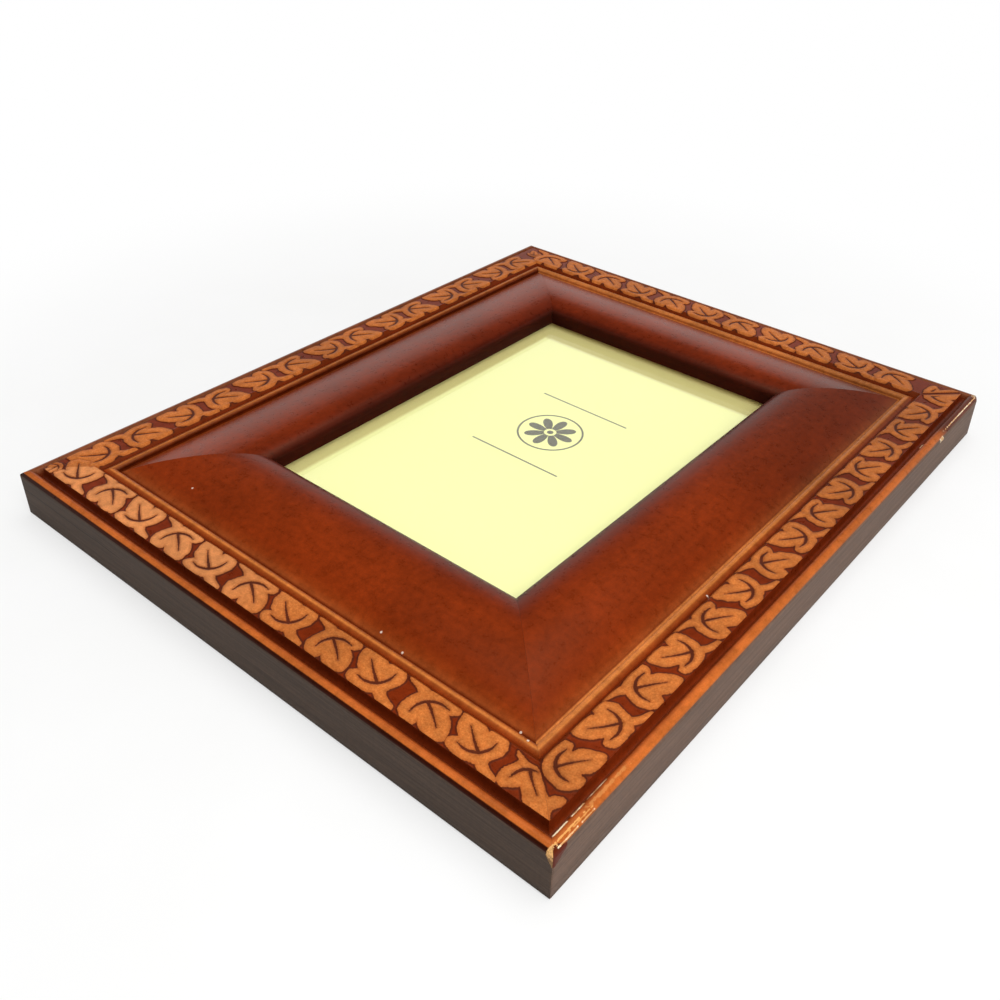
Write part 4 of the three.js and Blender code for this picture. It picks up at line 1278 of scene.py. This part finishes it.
def arc(radius, first, last, parts, centre=0.0):
    """Points of an arc about a centre on X."""
    return [(centre + radius * math.cos(first + (last - first) * i / parts),
             radius * math.sin(first + (last - first) * i / parts)) for i in range(parts + 1)]


def draw_button():
    """A turn button with its pivot at the origin and its long end along X."""
    pivot_r, tip_r, reach, thickness = 4.5, 3.5, 8.5, 0.8
    flank = math.acos((pivot_r - tip_r) / reach)
    outline = arc(pivot_r, flank, 2 * math.pi - flank, 36) + arc(tip_r, -flank, flank, 20, reach)
    button = draw_plate("button_master", outline, 0, thickness)
    eye = draw_plate("eye_tool", arc(1.3, 0, 2 * math.pi, 32)[:-1], -1, 2)
    cut_away(button, eye)
    remove(eye)
    soften_edges(button, 0.16)
    return button


def draw_screw():
    """A round-headed screw with a cross in its head, driven along Z, its head's top at 0."""
    screw = turn_on_lathe("screw_master", (
        (0, 0), (0.9, 0.04), (1.7, 0.15), (2.25, 0.37), (2.52, 0.62), (2.6, 0.84), (2.55, 1.0), (1, 1.0),
        (1, 7.0), (0.5, 8.0), (0, 9.0)))
    narrow, wide, depth = 0.26, 1.3, 0.68
    arm = ((wide, -narrow), (wide, narrow), (narrow, narrow))
    cross = [(x * c - y * s, x * s + y * c) for c, s in ((1, 0), (0, 1), (-1, 0), (0, -1)) for x, y in arm]
    driver = draw_plate("driver_tool", cross, -0.5, depth)
    edit(driver)
    pick(driver, 'VERT', lambda vert: vert.co.z > 0)
    bpy.ops.transform.resize(value=(0.5, 0.5, 1), center_override=(0, 0, depth * MM))
    close_edit()
    cut_away(screw, driver)
    remove(driver)
    make_active(screw)
    bpy.ops.object.shade_smooth_by_angle(angle=math.radians(40))
    return screw


# Operators

class RailsOperator(bpy.types.Operator):
    """Models the four mitred rails with their carved border"""

    bl_idname = "photo_frame.rails"
    bl_label = "Rails"

    def execute(self, context):
        sizes, finishes = context.scene.photo_frame_sizes, context.scene.photo_frame_finishes
        front, back, side = moulding_material(finishes), back_wood_material(), side_material(finishes)
        tools = draw_back_tools()
        for name, turn in RAIL_TURNS.items():
            outward = Matrix.Translation((0, -rail_distance(name) * MM, 0))
            place = Matrix.Rotation(math.radians(turn), 4, 'Z') @ outward
            rail = draw_rail(name + "_moulding", rail_length(name))
            rail.data.transform(place)
            for tool in tools:
                cut_away(rail, tool)
            rail.data.transform(place.inverted())
            cut_finely(rail, name, sizes)
            ease_corners(rail, name)
            mark_creases(rail)
            carve(rail, name, sizes)
            stain_faces(rail, front, back, side)
            rail.data.transform(place)
            finish_piece(rail, "frame", [name], None)
        for tool in tools:
            remove(tool)
        return {'FINISHED'}


class PictureOperator(bpy.types.Operator):
    """Models the glass and dresses the slip and the card behind it"""

    bl_idname = "photo_frame.picture"
    bl_label = "Glass, slip and card"

    def execute(self, context):
        finishes = context.scene.photo_frame_finishes
        pane = copy_solid("glass_pane", "seamed")
        soften_edges(pane, 0.2, segments=1)
        bpy.ops.object.shade_flat()
        finish_piece(pane, "frame", ["glass_pane"], glass_material())
        dress(["photo_slip"], paper_material(finishes))
        card = plain_stock_material("Grey card", shade(164, 158, 146), shade(132, 126, 116), 0.9, 0.9)
        dress(["filler_card"], card)
        return {'FINISHED'}


class BackOperator(bpy.types.Operator):
    """Models the hardboard back, and dresses its flocked lining and the corner nails"""

    bl_idname = "photo_frame.back"
    bl_label = "Back and corner nails"

    def execute(self, context):
        board = copy_solid("backing_board", "eased")
        soften_edges(board, 0.25, angle=60)
        finish_piece(board, "frame", ["backing_board"],
                     plain_stock_material("Hardboard", shade(132, 90, 56), shade(88, 56, 34), 0.75, 0.8))
        dress(["board_lining"], flock_material("Black flock", shade(40, 38, 43), shade(12, 11, 14)))
        steel = metal_material("Nail steel", shade(178, 178, 180), shade(126, 124, 122), 0.34)
        dress([node for node in frame["nodes"] if node.startswith("v_nail")], steel)
        return {'FINISHED'}


class LegOperator(bpy.types.Operator):
    """Models the folding leg, its stamped hinge, the pin and the rivets"""

    bl_idname = "photo_frame.leg"
    bl_label = "Leg and hinge"

    def execute(self, context):
        leg = copy_solid("easel_leg", "covered")
        soften_edges(leg, 0.4, angle=60)
        finish_piece(leg, "leg", ["easel_leg"],
                     flock_material("Leg covering", shade(34, 32, 36), shade(10, 10, 12)))
        brass = metal_material("Brassed hinge", shade(204, 168, 94), shade(150, 116, 58), 0.26)
        for node in ("hinge_leaf_board", "hinge_leaf_leg"):
            leaf = copy_solid(node, "stamped")
            soften_edges(leaf, 0.12, angle=40)
            finish_piece(leaf, BODY_OF[node], [node], brass)
        half = 11.6
        pin = turn_on_lathe("hinge_pin_turned", (
            (0, -half), (0.34, 0.05 - half), (0.58, 0.18 - half), (0.7, 0.4 - half),
            (0.7, half - 0.4), (0.58, half - 0.18), (0.34, half - 0.05), (0, half)), 24)
        pin.data.transform(hinge_place() @ Matrix.Rotation(math.radians(90), 4, 'X'))
        make_active(pin)
        bpy.ops.object.shade_smooth()
        finish_piece(pin, "frame", ["hinge_pin"],
                     metal_material("Pin steel", shade(196, 197, 200), shade(148, 148, 152), 0.24))
        rivet_brass = metal_material("Brassed rivet", shade(208, 172, 98), shade(156, 122, 62), 0.22)
        masters = {}
        for node in (n for n in BODY_OF if n.startswith("rivet")):
            low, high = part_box(node)
            height = round((high[2] - low[2]) / MM, 2)
            if height not in masters:
                masters[height] = turn_on_lathe("rivet_master", rivet_profile(height))
                make_active(masters[height])
                bpy.ops.object.shade_smooth_by_angle(angle=math.radians(40))
            foot = middle_of(node)
            foot.z = low[2]
            rivet = copy_piece(masters[height], node + "_domed", Matrix.Translation(foot))
            finish_piece(rivet, BODY_OF[node], [node], rivet_brass)
        for master in masters.values():
            remove(master)
        return {'FINISHED'}


class ButtonsOperator(bpy.types.Operator):
    """Models the four turn buttons that hold the back in, and their screws"""

    bl_idname = "photo_frame.buttons"
    bl_label = "Turn buttons and screws"

    def execute(self, context):
        steel = metal_material("Button steel", shade(190, 191, 195), shade(140, 140, 144), 0.3)
        bright = metal_material("Screw steel", shade(204, 205, 208), shade(158, 158, 162), 0.24)
        button, screw = draw_button(), draw_screw()
        for node in (n for n in BODY_OF if n.startswith("turn_button")):
            screw_node = node.replace("turn_button", "button_screw")
            pivot = middle_of(screw_node)
            turn = Matrix.Rotation(math.pi if pivot.x > 0 else 0, 4, 'Z')
            pivot.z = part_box(node)[0][2]
            plate = copy_piece(button, node + "_stamped", Matrix.Translation(pivot) @ turn)
            finish_piece(plate, BODY_OF[node], [node], steel)
            pivot.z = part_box(screw_node)[0][2]
            slot_turn = Matrix.Rotation(pivot.x * 40 + pivot.y * 23, 4, 'Z')
            driven = copy_piece(screw, screw_node + "_crossed", Matrix.Translation(pivot) @ slot_turn)
            finish_piece(driven, "frame", [screw_node], bright)
        remove(button)
        remove(screw)
        return {'FINISHED'}


class HangersOperator(bpy.types.Operator):
    """Models the two ring hangers' folded straps and wire rings"""

    bl_idname = "photo_frame.hangers"
    bl_label = "Ring hangers"

    def execute(self, context):
        brass = metal_material("Brassed hanger", shade(206, 170, 96), shade(150, 116, 58), 0.26)
        for node in (n for n in BODY_OF if n.startswith("hanger_strap")):
            strap = copy_solid(node, "folded")
            soften_edges(strap, 0.1, angle=40)
            finish_piece(strap, BODY_OF[node], [node], brass)
        for node in (n for n in BODY_OF if n.startswith("hanger_ring")):
            ring = copy_solid(node, "wire")
            swell = ring.modifiers.new("Make up for the rounding", 'DISPLACE')
            swell.direction, swell.mid_level, swell.strength = 'NORMAL', 0, 0.07 * MM
            apply_modifier(ring, swell)
            round_off = ring.modifiers.new("Round wire", 'SUBSURF')
            round_off.levels = round_off.render_levels = 2
            apply_modifier(ring, round_off)
            make_active(ring)
            bpy.ops.object.shade_smooth()
            finish_piece(ring, BODY_OF[node], [node], brass)
        return {'FINISHED'}


# The camera: its place in mm, its azimuth, elevation and roll in degrees, and its lens and film width in mm
CAMERA_AT = (145.517, -196.041, 164.966)
CAMERA_TURNS, CAMERA_LENS, CAMERA_FILM = (38.931, 35.813, 1.745), 36.772, 36
# The lamps: name, place and size in metres, and power in watts; all are aimed at the frame's middle
LAMPS = (
    ("Window lamp", (0.3, -0.2, 0.42), 0.25, 1.3),
    ("Ceiling lamp", (0.05, 0.1, 0.8), 0.6, 3.1),
    ("Side lamp", (0.9, 0.0, 0.12), 0.4, 1.8),
)
SOFT_LIGHT = 0.45
FLOOR_R, FLOOR_BELOW = 4, 0.02 * MM


class StageOperator(bpy.types.Operator):
    """Sets the pale floor, the lamps, the white surroundings and the camera"""

    bl_idname = "photo_frame.stage"
    bl_label = "Stage"

    def execute(self, context):
        self.camera(context.scene)
        self.floor()
        self.lamps()
        self.surroundings(context.scene)
        context.scene.view_settings.view_transform = 'Standard'
        return {'FINISHED'}

    def camera(self, scene):
        azimuth, elevation, roll = (math.radians(turn) for turn in CAMERA_TURNS)
        back = Vector((math.sin(azimuth) * math.cos(elevation), -math.cos(azimuth) * math.cos(elevation),
                       math.sin(elevation)))
        right = Vector((math.cos(azimuth), math.sin(azimuth), 0))
        up = back.cross(right)
        across = math.cos(roll) * right + math.sin(roll) * up
        upward = math.cos(roll) * up - math.sin(roll) * right
        lens = bpy.data.cameras.new("Camera")
        lens.sensor_width, lens.lens, lens.clip_start = CAMERA_FILM, CAMERA_LENS, 0.01
        camera = bpy.data.objects.new("Camera", lens)
        turned = Matrix((across, upward, back)).transposed().to_4x4()
        camera.matrix_world = Matrix.Translation(Vector(CAMERA_AT) * MM) @ turned
        scene.collection.objects.link(camera)
        scene.camera = camera

    def floor(self):
        bpy.ops.mesh.primitive_circle_add(
            vertices=96, radius=FLOOR_R, fill_type='NGON', location=(0, 0, -FLOOR_BELOW))
        floor = bpy.context.object
        floor.name = "Floor"
        settle(floor)
        material, tree = new_material("Pale floor")
        where = object_mm(tree)
        clouds = span(tree, noise(tree, where, 0.02, 4), 0.3, 0.7)
        colour = blend_colours(tree, clouds, shade(231, 231, 229), shade(235, 235, 234))
        matt = put(tree, 'ShaderNodeBsdfPrincipled',
                   {"Base Color": colour, "Roughness": 0.8, "Specular IOR Level": 0.1})
        glow = put(tree, 'ShaderNodeEmission', {"Color": (1, 1, 1, 1), "Strength": 1.0})
        rays = put(tree, 'ShaderNodeLightPath').outputs
        seen = either(tree, rays["Is Camera Ray"], rays["Is Transmission Ray"])
        away = calc_vector(tree, 'LENGTH', where, gives="Value")
        share = times(tree, seen, span(tree, away, 100.0, 260.0, 0.55, 1.0))
        both = put(tree, 'ShaderNodeMixShader', {0: share, 1: matt.outputs[0], 2: glow.outputs[0]})
        put(tree, 'ShaderNodeOutputMaterial', {"Surface": both.outputs[0]})
        floor.data.materials.append(material)

    def lamps(self):
        for name, place, size, power in LAMPS:
            lamp = bpy.data.lights.new(name, 'AREA')
            lamp.size, lamp.energy = size, power
            holder = bpy.data.objects.new(name, lamp)
            holder.location = place
            holder.rotation_euler = (Vector(place) * -1).to_track_quat('-Z', 'Y').to_euler()
            bpy.context.scene.collection.objects.link(holder)

    def surroundings(self, scene):
        world = bpy.data.worlds.new("Surroundings")
        scene.world = world
        world.use_nodes = True
        tree = world.node_tree
        tree.nodes.clear()
        rays = put(tree, 'ShaderNodeLightPath').outputs
        shown = either(tree, rays["Is Camera Ray"], rays["Is Transmission Ray"])
        rise = split(tree, put(tree, 'ShaderNodeTexCoord').outputs["Generated"])[2]
        mirrored = span(tree, rise, 0.34, 0.56, 1.0, 0.06)
        strength = either(tree, shown, times(tree, rays["Is Glossy Ray"], mirrored))
        soft = put(tree, 'ShaderNodeBackground', {"Color": (1, 1, 1, 1), "Strength": SOFT_LIGHT})
        white = put(tree, 'ShaderNodeBackground', {"Color": (1, 1, 1, 1), "Strength": strength})
        seen = either(tree, shown, rays["Is Glossy Ray"])
        both = put(tree, 'ShaderNodeMixShader', {0: seen, 1: soft.outputs[0], 2: white.outputs[0]})
        put(tree, 'ShaderNodeOutputWorld', {"Surface": both.outputs[0]})


class PhotoFramePanel(bpy.types.Panel):
    """Lists the frame's pieces in the order they are made"""

    bl_idname = "VIEW3D_PT_photo_frame"
    bl_label = "Photo frame"
    bl_space_type = 'VIEW_3D'
    bl_region_type = 'UI'
    bl_category = "Photo frame"

    def draw(self, context):
        column = self.layout.column(align=True)
        for operator in OPERATORS:
            column.operator(operator.bl_idname)
        for group_name in ("photo_frame_sizes", "photo_frame_finishes"):
            settings = getattr(context.scene, group_name)
            column = self.layout.column()
            for name in settings.__annotations__:
                column.prop(settings, name)


OPERATORS = (StageOperator, RailsOperator, PictureOperator, BackOperator, LegOperator, ButtonsOperator,
             HangersOperator)
CLASSES = (PhotoFrameSizes, PhotoFrameFinishes, *OPERATORS, PhotoFramePanel)


def register():
    for each in CLASSES:
        bpy.utils.register_class(each)
    bpy.types.Scene.photo_frame_sizes = PointerProperty(type=PhotoFrameSizes)
    bpy.types.Scene.photo_frame_finishes = PointerProperty(type=PhotoFrameFinishes)


def unregister():
    del bpy.types.Scene.photo_frame_finishes
    del bpy.types.Scene.photo_frame_sizes
    for each in reversed(CLASSES):
        bpy.utils.unregister_class(each)


def main():
    register()
    bpy.ops.photo_frame.stage()
    bpy.ops.photo_frame.rails()
    bpy.ops.photo_frame.picture()
    bpy.ops.photo_frame.back()
    bpy.ops.photo_frame.leg()
    bpy.ops.photo_frame.buttons()
    bpy.ops.photo_frame.hangers()


if __name__ == "__main__":
    main()
